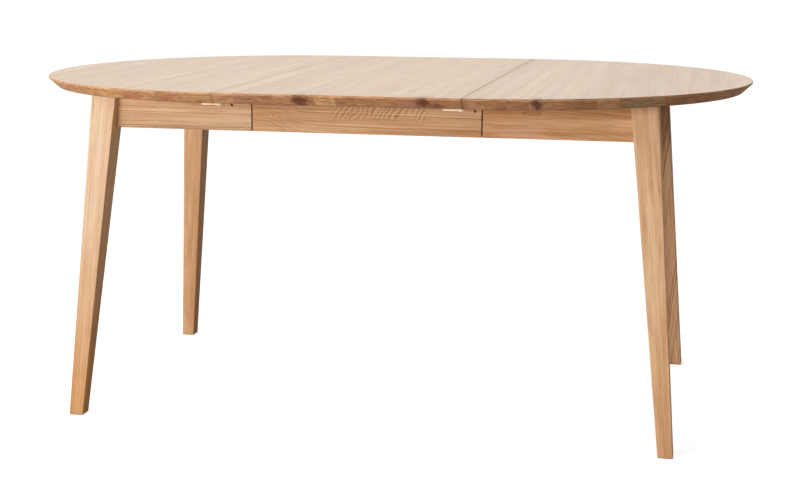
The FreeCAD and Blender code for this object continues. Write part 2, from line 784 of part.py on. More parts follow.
left_pivots = catch_parts("left_catch_pivots", pivot_screw, LEFT, TO_PIVOT, UNDERSIDE)
leaf_pivots = catch_parts("leaf_catch_pivots", pivot_screw, RIGHT, TO_PIVOT, LEAF_UNDERSIDE)
leaf_pins = catch_parts("leaf_catch_pins", keeper_pin, LEFT, TO_PIN, LEAF_UNDERSIDE)
right_pins = catch_parts("right_catch_pins", keeper_pin, RIGHT, TO_PIN, UNDERSIDE)
left_pivot_holes = catch_parts("left_pivot_holes", pivot_hole, LEFT, TO_PIVOT, UNDERSIDE)
leaf_pivot_holes = catch_parts("leaf_pivot_holes", pivot_hole, RIGHT, TO_PIVOT, LEAF_UNDERSIDE)
leaf_pin_holes = catch_parts("leaf_pin_holes", pin_hole, LEFT, TO_PIN, LEAF_UNDERSIDE)
right_pin_holes = catch_parts("right_pin_holes", pin_hole, RIGHT, TO_PIN, UNDERSIDE)
left_catch = rear_catch_part("left_rear_catch", lever, LEFT, TO_PIVOT, UNDERSIDE)
right_catch = rear_catch_part("right_rear_catch", lever, RIGHT, TO_PIVOT, LEAF_UNDERSIDE)


# ---------------------------------------------------------------- the three parts of the top
def ease_top_edges(label, base, seam_x):
    """Chamfers the top edges along the seams and rounds the outer top edges."""
    top = dim.top_height.value

    def along_seam(edge):
        box = edge.BoundBox
        return box.ZMin > top - FLAT and box.XLength < FLAT and abs(abs(box.XMin) - seam_x) < FLAT

    def outer(edge):
        box = edge.BoundBox
        return box.ZMin > top - FLAT and box.XLength > dim.bevel_depth.value

    eased = soften(label + "_eased", "Part::Chamfer", base, along_seam, dim.seam_chamfer)
    return soften(label + "_rounded", "Part::Fillet", eased, outer, dim.arris_radius)


def half_top():
    """The right half-round end: an edge section turned through half a circle about the seam."""
    section = [
        (0, UNDERSIDE),
        (dim.round_radius - dim.bevel_depth, UNDERSIDE),
        (dim.round_radius, dim.top_height - dim.edge_strip),
        (dim.round_radius, dim.top_height),
        (0, dim.top_height),
    ]
    disc = place(turned("half_disc", section, angle=180), x=SEAM)
    return ease_top_edges("half_top", disc, SEAM.value)


def leaf_panel():
    """The leaf: the same edge section at front and rear, run straight from seam to seam."""
    bevel_tall = dim.top_thick - dim.edge_strip
    flat = dim.round_radius - dim.bevel_depth * (bevel_tall - dim.leaf_relief) / bevel_tall
    section = [
        (-flat, LEAF_UNDERSIDE),
        (flat, LEAF_UNDERSIDE),
        (dim.round_radius, dim.top_height - dim.edge_strip),
        (dim.round_radius, dim.top_height),
        (-dim.round_radius, dim.top_height),
        (-dim.round_radius, dim.top_height - dim.edge_strip),
    ]
    reach = SEAM - dim.seam_gap
    panel = board("leaf_board", "YZ_Plane", section, 2 * reach, offset=-reach)
    return ease_top_edges("leaf_panel", panel, reach.value)


half_blank = half_top()
left_blank = to_left("left_top_blank", half_blank)
left_cleat_holes = to_left("left_cleat_holes", half_cleat_holes)
right_top = cut("right_top", half_blank, [half_cleat_holes, right_runner_holes, right_pin_holes])
left_top = cut("left_top", left_blank, [left_cleat_holes, left_runner_holes, left_pivot_holes])
leaf_top = cut("leaf_top", leaf_panel(), [leaf_cleat_holes, leaf_pivot_holes, leaf_pin_holes])


# ---------------------------------------------------------------- every piece, by name
def quarters(noun, source):
    """A quarter's piece and its three mirror images, named by their corner of the table."""
    front = to_front(f"right_front_{noun}", source)
    return [source, front, to_left(f"left_rear_{noun}", source), to_left(f"left_front_{noun}", front)]


def halves(noun, source):
    """The fasteners of both quarters of the right half, and their mirror image on the left."""
    right = both_sides(f"right_{noun}", source)
    return [right, to_left(f"left_{noun}", right)]


PIECES = [
    left_top, right_top, leaf_top,
    *quarters("leg", rear_leg),
    *quarters("apron", rear_apron),
    *quarters("corner_block", rear_block),
    *halves("leg_bolts", leg_bolts),
    *halves("leg_washers", leg_washers),
    *halves("leg_nuts", leg_nuts),
    *halves("corner_block_screws", block_screws),
    right_end_apron, to_left("left_end_apron", right_end_apron),
    right_cleats, to_left("left_top_cleats", right_cleats),
    right_cleat_screws, to_left("left_cleat_screws", right_cleat_screws),
    leaf_rear_apron, to_front("leaf_front_apron", leaf_rear_apron),
    leaf_cleat_strips, leaf_screws,
    *rear_runners.values(),
    *(to_front(f"{side}_front_runner", item) for side, item in rear_runners.items()),
    left_runner_screws, right_runner_screws,
    middle_cross_rail, cross_rail_screws,
    both_sides("left_runner_stops", left_stop), both_sides("middle_runner_stops", middle_stop),
    left_pivots, leaf_pivots, leaf_pins, right_pins,
    left_catch, to_front("left_front_catch", left_catch),
    right_catch, to_front("right_front_catch", right_catch),
]
MOST_PIECES = 60


def check_document():
    """Stops the build if an object failed, or if a piece is empty, invalid or named twice."""
    doc.recompute()
    for item in doc.Objects:
        if "Invalid" in item.State or "Error" in item.State:
            raise RuntimeError(f"{item.Label} failed: {item.State}")
    if len({piece.Label for piece in PIECES}) != len(PIECES) or len(PIECES) > MOST_PIECES:
        raise RuntimeError("piece names repeat, or there are too many pieces")
    for piece in PIECES:
        if piece.Shape.isNull() or not piece.Shape.isValid() or not piece.Shape.Solids:
            raise RuntimeError(f"{piece.Label} has no valid solid")


def write_pieces():
    """Writes each piece to a STEP file of its own name."""
    os.makedirs("parts", exist_ok=True)
    for piece in PIECES:
        piece.Shape.exportStep(os.path.join("parts", piece.Label + ".step"))
    print(f"{len(PIECES)} pieces written")


check_document()
write_pieces()
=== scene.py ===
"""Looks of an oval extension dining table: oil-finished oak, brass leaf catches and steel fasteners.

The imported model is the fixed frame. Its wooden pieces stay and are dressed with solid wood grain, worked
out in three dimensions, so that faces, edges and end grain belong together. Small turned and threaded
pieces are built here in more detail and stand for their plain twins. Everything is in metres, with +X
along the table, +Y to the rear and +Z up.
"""

from __future__ import annotations

import json
import logging
import math
from dataclasses import dataclass, replace
from enum import Enum
from functools import cache
from itertools import product
from typing import Any, Callable, Iterable, Sequence, Union

import bmesh
import bpy
import numpy
from mathutils import Matrix, Vector

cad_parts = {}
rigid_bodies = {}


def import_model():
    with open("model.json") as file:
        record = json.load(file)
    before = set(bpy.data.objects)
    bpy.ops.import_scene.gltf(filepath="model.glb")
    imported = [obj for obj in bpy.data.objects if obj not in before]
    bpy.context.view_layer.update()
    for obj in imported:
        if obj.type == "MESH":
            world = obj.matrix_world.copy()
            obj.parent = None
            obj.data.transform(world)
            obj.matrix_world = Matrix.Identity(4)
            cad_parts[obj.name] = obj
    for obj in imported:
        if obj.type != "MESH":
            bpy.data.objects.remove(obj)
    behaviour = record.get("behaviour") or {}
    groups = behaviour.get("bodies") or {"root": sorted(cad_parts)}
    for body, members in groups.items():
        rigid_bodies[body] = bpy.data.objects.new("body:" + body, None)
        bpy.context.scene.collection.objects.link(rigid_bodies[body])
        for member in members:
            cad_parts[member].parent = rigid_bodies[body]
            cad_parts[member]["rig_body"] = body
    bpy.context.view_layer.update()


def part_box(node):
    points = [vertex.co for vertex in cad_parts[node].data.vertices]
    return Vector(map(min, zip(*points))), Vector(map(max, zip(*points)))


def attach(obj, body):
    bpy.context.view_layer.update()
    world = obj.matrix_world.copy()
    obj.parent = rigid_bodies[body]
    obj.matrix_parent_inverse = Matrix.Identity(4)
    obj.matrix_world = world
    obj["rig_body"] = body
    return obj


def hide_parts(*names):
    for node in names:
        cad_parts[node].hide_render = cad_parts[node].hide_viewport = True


LOG = logging.getLogger("table")
IMAGE_WIDTH_PX = 800
SENSOR_WIDTH_MM = 36.0
TOP_FACE = 0.750
TOP_UNDERSIDE = 0.727
APRON_LOW = 0.644

Socket = bpy.types.NodeSocket
Number = Union[float, "Wire"]
Rgba = tuple[float, float, float, float]
Triple = tuple[float, float, float]
Flat = tuple[float, float]
Row = Sequence[bmesh.types.BMVert]


# ---------------------------------------- shader building
@dataclass(frozen=True)
class Colour:
    """A colour written in the usual six hex digits."""

    digits: str

    def linear(self) -> Rgba:
        """Turns the digits into Blender's linear colour.

        Returns:
            Red, green, blue and alpha.
        """
        parts = [int(self.digits[place:place + 2], 16) / 255 for place in (0, 2, 4)]
        red, green, blue = (part / 12.92 if part <= 0.04045 else ((part + 0.055) / 1.055) ** 2.4
                            for part in parts)
        return red, green, blue, 1.0


def math_method(operation: str, swapped: bool = False) -> Callable[[Wire, Number], Wire]:
    """Makes an arithmetic method that adds a Math node.

    Args:
        operation: The node's operation.
        swapped: Whether the other number comes first.

    Returns:
        The method.
    """

    def method(self: Wire, other: Number) -> Wire:
        """Adds the node."""
        return self.graph.math(operation, *((other, self) if swapped else (self, other)))

    return method


@dataclass(frozen=True)
class Wire:
    """A number on a shader tree. Arithmetic on it adds Math nodes to its graph."""

    graph: Graph
    socket: Socket

    __sub__ = math_method("SUBTRACT")
    __rsub__ = math_method("SUBTRACT", swapped=True)
    __mul__ = math_method("MULTIPLY")
    __rmul__ = math_method("MULTIPLY", swapped=True)
    __truediv__ = math_method("DIVIDE")
    __pow__ = math_method("POWER")

    def __add__(self, other: Number) -> Wire:
        """The sum. A 0 adds nothing, so sum() works."""
        return self if other == 0 else self.graph.math("ADD", self, other)

    __radd__ = __add__

    def __abs__(self) -> Wire:
        """The size without its sign."""
        return self.graph.math("ABSOLUTE", self)

    def floor(self) -> Wire:
        """The whole number below."""
        return self.graph.math("FLOOR", self)

    def wave(self) -> Wire:
        """Swings from 1 at every whole number to 0 half-way to the next."""
        return abs(self - self.floor() - 0.5) * 2.0

    def rise(self, low: Number, high: Number) -> Wire:
        """Goes smoothly from 0 at a low value to 1 at a high one.

        Args:
            low: Value at and below which the result is 0.
            high: Value at and above which the result is 1.

        Returns:
            The faded number.
        """
        node = self.graph.node("ShaderNodeMapRange", {"interpolation_type": "SMOOTHSTEP"},
                               Value=self, From_Min=low, From_Max=high)
        return self.graph.wire(node, "Result")

    def fall(self, low: Number, high: Number) -> Wire:
        """Goes smoothly from 1 at a low value to 0 at a high one."""
        return 1.0 - self.rise(low, high)

    def within(self, low: float, high: float, margin: float) -> Wire:
        """1 between two values and 0 outside them, with soft margins inside."""
        return self.rise(low, low + margin) * self.fall(high - margin, high)


class Graph:
    """The node tree of a material or of the surroundings."""

    def __init__(self, owner: bpy.types.Material | bpy.types.World) -> None:
        """Empties the owner's tree.

        Args:
            owner: The material or the world.
        """
        owner.use_nodes = True
        self.owner = owner
        self.tree = owner.node_tree
        self.tree.nodes.clear()

    @classmethod
    def of_material(cls, name: str) -> Graph:
        """The tree of a new material."""
        return cls(bpy.data.materials.new(name))

    def node(self, kind: str, settings: dict[str, Any] | None = None, **sockets: Any) -> bpy.types.Node:
        """Adds a node.

        Args:
            kind: Blender's name for the node's type.
            settings: Its properties, which are set first.
            sockets: Values or links for its inputs, named as in find_socket.

        Returns:
            The new node.
        """
        node = self.tree.nodes.new(kind)
        for name, value in (settings or {}).items():
            setattr(node, name, value)
        for name, value in sockets.items():
            self.feed(find_socket(node.inputs, name), value)
        return node

    def feed(self, target: Socket, value: Any) -> None:
        """Links an input or sets its value.

        Args:
            target: The input.
            value: A wire, an output, a colour or a plain value.
        """
        if isinstance(value, Wire):
            self.tree.links.new(value.socket, target)
        elif isinstance(value, Socket):
            self.tree.links.new(value, target)
        else:
            target.default_value = value.linear() if isinstance(value, Colour) else value

    def wire(self, node: bpy.types.Node, output: str) -> Wire:
        """A node's output as a number for arithmetic."""
        return Wire(self, find_socket(node.outputs, output))

    def math(self, operation: str, *values: Number) -> Wire:
        """Adds a Math node.

        Args:
            operation: The node's operation.
            values: Its one or two operands.

        Returns:
            The result.
        """
        node = self.node("ShaderNodeMath", {"operation": operation})
        for target, value in zip(node.inputs, values):
            self.feed(target, value)
        return self.wire(node, "Value")

    def vector(self, x: Number, y: Number, z: Number) -> Socket:
        """Three numbers as one vector."""
        return self.node("ShaderNodeCombineXYZ", X=x, Y=y, Z=z).outputs[0]

    def parts(self, vector: Socket) -> tuple[Wire, Wire, Wire]:
        """A vector's three numbers."""
        node = self.node("ShaderNodeSeparateXYZ", Vector=vector)
        return self.wire(node, "X"), self.wire(node, "Y"), self.wire(node, "Z")

    def place(self) -> tuple[Wire, Wire, Wire]:
        """Where a spot of the object is, in the object's own coordinates."""
        return self.parts(self.node("ShaderNodeTexCoord").outputs["Object"])

    def facing(self) -> tuple[Wire, Wire, Wire]:
        """Which way a spot of the object faces, in the object's own coordinates."""
        return self.parts(self.node("ShaderNodeTexCoord").outputs["Normal"])

    def blend(self, first: Any, second: Any, share: Number, mode: str = "MIX") -> Socket:
        """Mixes two colours.

        Args:
            first: Colour or link at share 0.
            second: Colour or link at share 1.
            share: How much of the second shows.
            mode: The blend type.

        Returns:
            The mixed colour's socket.
        """
        if share == 0:
            return first
        node = self.node("ShaderNodeMix", {"data_type": "RGBA", "blend_type": mode},
                         Factor_Float=share, A_Color=first, B_Color=second)
        return find_socket(node.outputs, "Result_Color")

    def layer(self, colour: Any, *tints: tuple[Any, Number]) -> Socket:
        """Lays tints over a colour, one after the other.

        Args:
            colour: Colour or link at the bottom.
            tints: Each tint and its share.

        Returns:
            The covered colour.
        """
        for tint, share in tints:
            colour = self.blend(colour, tint, share)
        return colour

    def noise(self, vector: Socket, detail: float, roughness: float = 0.5) -> bpy.types.Node:
        """Adds cloudy noise at the scale of its vector, with finer octaves."""
        return self.node("ShaderNodeTexNoise", Vector=vector, Scale=1.0, Detail=detail,
                         Roughness=roughness)

    def clouds(self, x: Number, y: Number, z: Number, detail: float) -> Wire:
        """Cloudy noise at a place, as one number from 0 to 1."""
        return self.wire(self.noise(self.vector(x, y, z), detail), "Fac")

    def split(self, node: bpy.types.Node) -> tuple[Wire, Wire, Wire]:
        """The red, green and blue of a node's colour."""
        parts = self.node("ShaderNodeSeparateColor", Color=node.outputs["Color"])
        return self.wire(parts, "Red"), self.wire(parts, "Green"), self.wire(parts, "Blue")

    def chance(self, number: Number) -> tuple[Wire, Wire, Wire]:
        """Three unrelated numbers from 0 to 1 that depend on one number."""
        return self.split(self.node("ShaderNodeTexWhiteNoise", {"noise_dimensions": "1D"}, W=number))

    def choose(self, number: Wire, colours: Sequence[Colour]) -> Socket:
        """Picks one of several colours by a whole number from 0 up.

        Args:
            number: Which colour.
            colours: The colours, at most 32.

        Returns:
            The picked colour's socket.
        """
        node = self.node("ShaderNodeValToRGB", Fac=(number + 0.5) / len(colours))
        node.color_ramp.interpolation = "CONSTANT"
        stops = node.color_ramp.elements
        while len(stops) < len(colours):
            stops.new(1.0)
        for place, (stop, colour) in enumerate(zip(stops, colours)):
            stop.position = place / len(colours)
            stop.color = colour.linear()
        return node.outputs["Color"]

    def bump(self, height: Wire, strength: float, distance: float) -> Socket:
        """The surface's direction, tilted by a fine relief."""
        node = self.node("ShaderNodeBump", Strength=strength, Distance=distance, Height=height)
        return node.outputs[0]

    def finish(self, **sockets: Any) -> bpy.types.Material:
        """Adds the surface shader and the output.

        Args:
            sockets: Values or links of the shader's inputs.

        Returns:
            The finished material.
        """
        shader = self.node("ShaderNodeBsdfPrincipled", **sockets)
        self.node("ShaderNodeOutputMaterial", Surface=shader.outputs[0])
        return self.owner


def find_socket(sockets: Iterable[Socket], name: str) -> Socket:
    """Finds a socket by its identifier or, failing that, its name.

    Args:
        sockets: The sockets to look through.
        name: The identifier, or the name with underscores for spaces.

    Returns:
        The socket.
    """
    found = [socket for socket in sockets if socket.identifier == name]
    found += [socket for socket in sockets if socket.name == name.replace("_", " ")]
    return found[0]


# ---------------------------------------- wood
class Grain(Enum):
    """The way that the fibres of a piece run."""

    LENGTHWISE = "along the table"
    CROSSWISE = "across the table"
    UPRIGHT = "upright"


@dataclass(frozen=True)
class Timber:
    """Colours and figure of one kind of wood."""

    pale: Colour
    warm: Colour
    dark: Colour
    pore: Colour
    fleck: Colour
    end_pale: Colour
    end_red: Colour
    end_dark: Colour
    blush: Colour = Colour("D3A084")
    end_light: Colour = Colour("DCA674")
    knot: Colour = Colour("5A3323")
    # The colour multiplied in to make a board darker and warmer towards a leg's foot.
    foot_tint: Colour = Colour("EBCBA6")
    ring_width: float = 0.0030
    ring_depth: float = 0.55
    fibre_depth: float = 0.50
    pore_depth: float = 0.45
    fleck_depth: float = 0.20
    blush_depth: float = 0.25
    sway: float = 0.016
    streak_depth: float = 0.25
    mottle_depth: float = 0.22
    ground_depth: float = 0.60
    knot_depth: float = 0.78
    end_depth: float = 0.94
    end_red_depth: float = 0.65
    end_ring_depth: float = 0.20
    end_light_depth: float = 0.42
    row_depth: float = 0.50
    roughness: float = 0.50
    gloss: float = 0.02
    polish: float = 0.0
    kind: str = "oak"


@dataclass(frozen=True)
class Sawing:
    """Where a board lay in its log: the pith's place beside the board, and how it leans along it."""

    across: Number = 0.03
    behind: Number = 0.05
    lean_across: Number = 0.0
    lean_behind: Number = 0.0


@dataclass(frozen=True)
class Swirl:
    """A place on a board's face where the year rings bulge round a bud or a knot."""

    along: float
    across: float
    reach_along: float
    reach_across: float
    lift: float


@dataclass(frozen=True)
class Ripple:
    """A patch of slanted pale flecks on a board's face, where the rays come to the surface."""

    start: float
    stop: float
    low: float
    high: float
    spacing: float = 0.0118
    slant: float = -0.60
    strength: float = 0.7
    fleck_share: float = 0.55


@dataclass(frozen=True)
class SeamEdge:
    """A darker band along a panel's eased edge beside a seam, and a painted shadow line in the seam's gap
    on the rim.
    """

    place: float
    strength: float
    reach: float
    # painted shadow: the dark line in the open gap of the seam, on the rim
    rim_gap_shadow: float = 0.0
    rim_reach: float = 0.0016
    colour: Colour = Colour("C3905F")


@dataclass(frozen=True)
class Knot:
    """A knot, as an egg-shaped dark place in the wood."""

    centre: Triple
    radii: Triple
    strength: float = 1.0


@dataclass(frozen=True)
class BoardSpace:
    """Coordinates of a board: along its grain, across it, and through its thickness."""

    along: Wire
    across: Wire
    depth: Wire
    end_facing: Wire


@dataclass(frozen=True)
class Figure:
    """What sets one board apart: its place in the log, its tone, and marks on its face."""

    sawing: Sawing
    seed: Number
    tone: Number = 1.0
    end_colour: Socket | None = None
    knots: Number = 0.0
    foot_darkening: Number = 0.0
    swirls: tuple[Swirl, ...] = ()
    ripples: tuple[Ripple, ...] = ()


OAK = Timber(
    pale=Colour("E3B98F"), warm=Colour("CC986B"), dark=Colour("94592F"), pore=Colour("6E4428"),
    fleck=Colour("EAC8A2"), end_pale=Colour("BE8B5E"), end_red=Colour("A9694A"),
    end_dark=Colour("6E4530"),
)
BROAD_OAK = replace(OAK, ring_width=0.0048, ring_depth=0.82)
STREAKED_OAK = replace(OAK, pale=Colour("DAAA7E"), warm=Colour("C08C61"), dark=Colour("774A2E"),
                       ring_width=0.0050, ring_depth=0.92)
# The top's face colours are paler and pinker than the other oak: painted sheen, for the white surroundings
# reflected at a grazing view.
TOP_OAK = Timber(
    pale=Colour("E8D0B4"), warm=Colour("DDC0A2"), dark=Colour("B48A68"), pore=Colour("A67F60"),
    fleck=Colour("EFDAC4"), end_pale=Colour("C39068"), end_red=Colour("AC7250"),
    end_dark=Colour("6E452F"), blush=Colour("E6C4A9"), ring_depth=0.13, fibre_depth=0.32,
    pore_depth=0.14, fleck_depth=0.15, blush_depth=0.6, streak_depth=0.07, sway=0.007, roughness=0.44,
    polish=0.72,
)
LEG_OAK = replace(OAK, pale=Colour("E4BD94"), warm=Colour("CC9C70"), ring_depth=0.15, fibre_depth=0.42,
                  streak_depth=0.45, mottle_depth=0.5)
CREAM_OAK = replace(LEG_OAK, pale=Colour("E4CBAE"), warm=Colour("D5B18C"), dark=Colour("B1845D"),
                    fleck=Colour("EDD6BC"))
PALE_OAK = replace(OAK, pale=Colour("E6C29C"), warm=Colour("C4956D"), ring_depth=0.80, fibre_depth=0.60)
CLOUDED_OAK = replace(BROAD_OAK, pale=Colour("E8BD92"), warm=Colour("C48F62"), ring_width=0.0056,
                      ring_depth=0.66, fibre_depth=0.62, mottle_depth=0.75, blush_depth=0.65)
BEECH = Timber(
    pale=Colour("D8B18A"), warm=Colour("C99B72"), dark=Colour("B6845B"), pore=Colour("9C6B47"),
    fleck=Colour("B98055"), end_pale=Colour("C2946B"), end_red=Colour("B6835D"),
    end_dark=Colour("98694A"), ring_width=0.0042, ring_depth=0.30, pore_depth=0.12, fleck_depth=0.45,
    roughness=0.62, kind="beech",
)


@dataclass(frozen=True)
class Mottle:
    """Cloudy variation inside a board.

    The first three numbers are noise units to a metre. The mask goes from 0 to 1 between low and high.
    """

    along: float
    across: float
    depth: float
    detail: float
    low: float = 0.0
    high: float = 1.0
    from_along: float = 0.0
    from_across: float = 0.0

    def noise(self, space: BoardSpace) -> bpy.types.Node:
        """Adds the noise over a board.

        Args:
            space: The board's coordinates.

        Returns:
            The noise node.
        """
        graph = space.along.graph
        return graph.noise(graph.vector(space.along * self.along + self.from_along,
                                        space.across * self.across + self.from_across,
                                        space.depth * self.depth), self.detail)

    def over(self, space: BoardSpace) -> Wire:
        """The noise over a board as one number from 0 to 1."""
        return space.along.graph.wire(self.noise(space), "Fac")

    def mask(self, space: BoardSpace) -> Wire:
        """Where the noise over a board is high."""
        return self.over(space).rise(self.low, self.high)


DRIFT = Mottle(2.4, 8.0, 8.0, 2.0)
HAZE = Mottle(3.1, 12.0, 20.0, 2.0, 0.42, 0.62, from_along=7.0)
BANDS = Mottle(1.7, 34.0, 34.0, 2.0, 0.35, 0.68)
PATCHES = Mottle(12.0, 48.0, 230.0, 4.0, 0.44, 0.64)
ROWS = Mottle(9.0, 42.0, 520.0, 3.0, 0.46, 0.70, from_across=5.0)
STREAKS = Mottle(5.0, 150.0, 150.0, 3.0, 0.48, 0.72, from_across=9.0)
FIBRES = Mottle(7.0, 330.0, 330.0, 3.0, 0.45, 0.85)
PORES = Mottle(50.0, 1500.0, 1500.0, 1.0, 0.56, 0.68)
# Low and high values between which a mask goes from 0 to 1, or back.
RED_PATCHES = (0.42, 0.62)
LIGHT_ROWS = (0.32, 0.50)
RAY_EDGES = (0.64, 0.74)
KNOT_CORE = (0.35, 1.50)
KNOT_RINGS = (0.45, 0.95)
KNOT_RINGS_OUT = (1.1, 2.9)
SWIRL_EDGE = (0.0, 1.6)
RIPPLE_PATCH = (0.32, 0.52)
RIPPLE_FLECK = (0.55, 0.95)
RIPPLE_GROUND = (0.10, 0.65)
SPRING_START = (0.0, 0.07)
FACES_END = (0.35, 0.75)
FACES_END_CROSSWISE = (0.30, 0.70)
FACES_FLAT = (0.80, 0.95)
FACES_UP = (0.4, 0.9)
# FACES_RIGHT marks the faces that take the painted side shade.
FACES_RIGHT = (0.4, 0.8)
# Noise units to a metre or to a radian, and where each draw starts.
RAY_UNITS = (90.0, 150.0, 130.0)
JITTER_UNITS = 60.0
KNOT_UNITS = 95.0
RIPPLE_UNITS = (24.0, 36.0)
LOG_STEP = 3.7
JITTER_SEED = 4.1
RIPPLE_SEED = 3.0
STAVE_STEP = 1.37
SECOND_DRAW = 31.0
# How strongly one thing moves or marks another.
YEARS_ADRIFT = 3.5
SPRING_FALLS = 0.10
SPRING_SHORTEST = 0.30
SPRING_LONGER = 0.45
SPRING_WEAKEST = 0.3
SPRING_STRONGER = 0.8
PORES_ALWAYS = 0.2
PORES_IN_SPRING = 0.8
KNOT_RAGGED = 2.4
KNOT_ROUGH = 0.65
KNOT_PUSH = 0.009
RINGS_TO_A_KNOT = 2.6
RING_STRENGTH = 0.30
RIPPLE_RAGGED = 2.6
RIPPLE_MARGIN = 0.03
RIPPLE_SIDE_MARGIN = 0.3
PORE_ROUGH, FIBRE_ROUGH, END_ROUGH = 0.16, 0.10, 0.14
PORE_DEEP, SPRING_DEEP, FIBRE_TALL = 0.5, 0.12, 0.12
WOOD_RELIEF = (0.35, 0.0004)
COAT_ROUGHNESS = 0.42


@dataclass(frozen=True)
class WoodSurface:
    """Colour, roughness and height over a piece of wood."""

    colour: Socket
    roughness: Wire
    height: Wire


@dataclass(frozen=True)
class WoodFinish:
    """Planed, oil-finished wood on one board, with grain that runs right through it."""

    name: str
    timber: Timber
    grain: Grain
    sawing: Sawing
    seed: float = 0.0
    slope: Flat = (0.0, 0.0)
    tone: float = 1.0
    knots: tuple[Knot, ...] = ()
    swirls: tuple[Swirl, ...] = ()
    ripples: tuple[Ripple, ...] = ()
    foot_depth: float = 0.0
    foot_end: float = 0.52
    # painted shadow: the board darker towards its top, where the table top shades it
    head_shade: float = 0.0
    # painted light: the board lighter towards its upper edge, against the shade that the top's overhang
    # casts there
    upper_light: float = 0.0
    # painted shade: a colour multiplied into the faces that look to +X, the side turned away from the
    # lamps
    flank: Colour | None = None

    def material(self) -> bpy.types.Material:
        """Builds the material.

        Returns:
            The material.
        """
        graph = Graph.of_material(self.name)
        surface = self.surface(graph, self.space(graph), knot_mask(graph, self.knots))
        colour = surface.colour
        # painted shade on the faces that look to +X
        if self.flank:
            colour = graph.blend(colour, self.flank, graph.facing()[0].rise(*FACES_RIGHT), "MULTIPLY")
        return graph.finish(Base_Color=colour, Roughness=surface.roughness,
                            Specular_IOR_Level=self.timber.gloss,
                            Normal=graph.bump(surface.height, *WOOD_RELIEF),
                            Coat_Weight=self.polish(graph), Coat_Roughness=COAT_ROUGHNESS)

    def polish(self, graph: Graph) -> Number:
        """How much clear finish is left on the surface, which is most on faces that look up."""
        return graph.facing()[2].rise(*FACES_UP) * self.timber.polish if self.timber.polish else 0.0

    def space(self, graph: Graph) -> BoardSpace:
        """Turns the object's coordinates into the board's own.

        Args:
            graph: The material's graph.

        Returns:
            The board's coordinates.
        """
        x, y, z = graph.place()
        facing_x, facing_y, facing_z = graph.facing()
        if self.grain is Grain.LENGTHWISE:
            return BoardSpace(x, z, y, abs(facing_x).rise(*FACES_END))
        if self.grain is Grain.CROSSWISE:
            return BoardSpace(y, x, z, abs(facing_y).rise(*FACES_END_CROSSWISE))
        lean_x, lean_y = self.slope
        return BoardSpace(z, x - z * lean_x, y - z * lean_y, abs(facing_z).rise(*FACES_END))

    def surface(self, graph: Graph, space: BoardSpace, knots: Number) -> WoodSurface:
        """Works out the look of one solid board.

        Args:
            graph: The material's graph.
            space: The board's coordinates.
            knots: Mask of the knots.

        Returns:
            The surface.
        """
        # Darker and warmer towards the foot of the board.
        foot_darkening = space.along.fall(0.0, self.foot_end) * self.foot_depth if self.foot_depth else 0.0
        # painted shadow: darker towards the top of the board, for the table top's shade
        shade = space.along.rise(0.0, TOP_UNDERSIDE) * self.head_shade if self.head_shade else 0.0
        # painted light: lighter towards the board's upper edge, against the overhang's shade
        if self.upper_light:
            shade = shade - space.across.rise(APRON_LOW, TOP_UNDERSIDE) * self.upper_light
        figure = Figure(self.sawing, self.seed, self.tone - shade, knots=knots, foot_darkening=foot_darkening,
                        swirls=self.swirls, ripples=self.ripples)
        return wood_surface(graph, space, self.timber, figure)


def knot_mask(graph: Graph, knots: Sequence[Knot]) -> Number:
    """Marks the knots in a piece.

    Args:
        graph: The material's graph.
        knots: The knots.

    Returns:
        A number that is 1 in the middle of a knot and 0 away from all of them.
    """
    if not knots:
        return 0.0
    place = graph.place()
    ragged = graph.noise(graph.vector(*(axis * KNOT_UNITS for axis in place)), 4.0, KNOT_ROUGH)
    shifts = [(shift - 0.5) * KNOT_RAGGED for shift in graph.split(ragged)]
    masks = []
    for knot in knots:
        parts = [(axis - middle) / reach + moved for axis, middle, reach, moved
                 in zip(place, knot.centre, knot.radii, shifts)]
        distance = sum(part * part for part in parts) ** 0.5
        rings = (distance * RINGS_TO_A_KNOT).wave().rise(*KNOT_RINGS) * distance.fall(*KNOT_RINGS_OUT)
        masks.append((distance.fall(*KNOT_CORE) + rings * RING_STRENGTH) * knot.strength)
    return sum(masks)


def bulge(space: BoardSpace, swirls: Sequence[Swirl]) -> Number:
    """Works out how far the year rings are pushed out at each place of a board.

    Args:
        space: The board's coordinates.
        swirls: The places where they bulge.

    Returns:
        The push, in metres.
    """
    pushes = []
    for swirl in swirls:
        along = (space.along - swirl.along) / swirl.reach_along
        across = (space.across - swirl.across) / swirl.reach_across
        pushes.append((along * along + across * across).fall(*SWIRL_EDGE) * swirl.lift)
    return sum(pushes)


def ripple_masks(graph: Graph, space: BoardSpace, ripples: Sequence[Ripple]) -> tuple[Number, Number]:
    """Marks slanted pale flecks and the darker wood between them.

    Args:
        graph: The material's graph.
        space: The board's coordinates.
        ripples: The patches of flecks.

    Returns:
        The flecks and the ground between them, as numbers from 0 to 1.
    """
    flecks, grounds = [], []
    to_along, to_across = RIPPLE_UNITS
    for ripple in ripples:
        ragged = graph.clouds(space.along * to_along, space.across * to_across, RIPPLE_SEED, detail=3.0)
        count = (space.along + space.across * ripple.slant) / ripple.spacing + ragged * RIPPLE_RAGGED
        wave = count.wave()
        side_margin = (ripple.high - ripple.low) * RIPPLE_SIDE_MARGIN
        inside = (space.along.within(ripple.start, ripple.stop, RIPPLE_MARGIN)
                  * space.across.within(ripple.low, ripple.high, side_margin)
                  * ragged.rise(*RIPPLE_PATCH) * ripple.strength)
        flecks.append(wave.rise(*RIPPLE_FLECK) * inside * ripple.fleck_share)
        grounds.append(wave.fall(*RIPPLE_GROUND) * inside)
    return sum(flecks), sum(grounds)


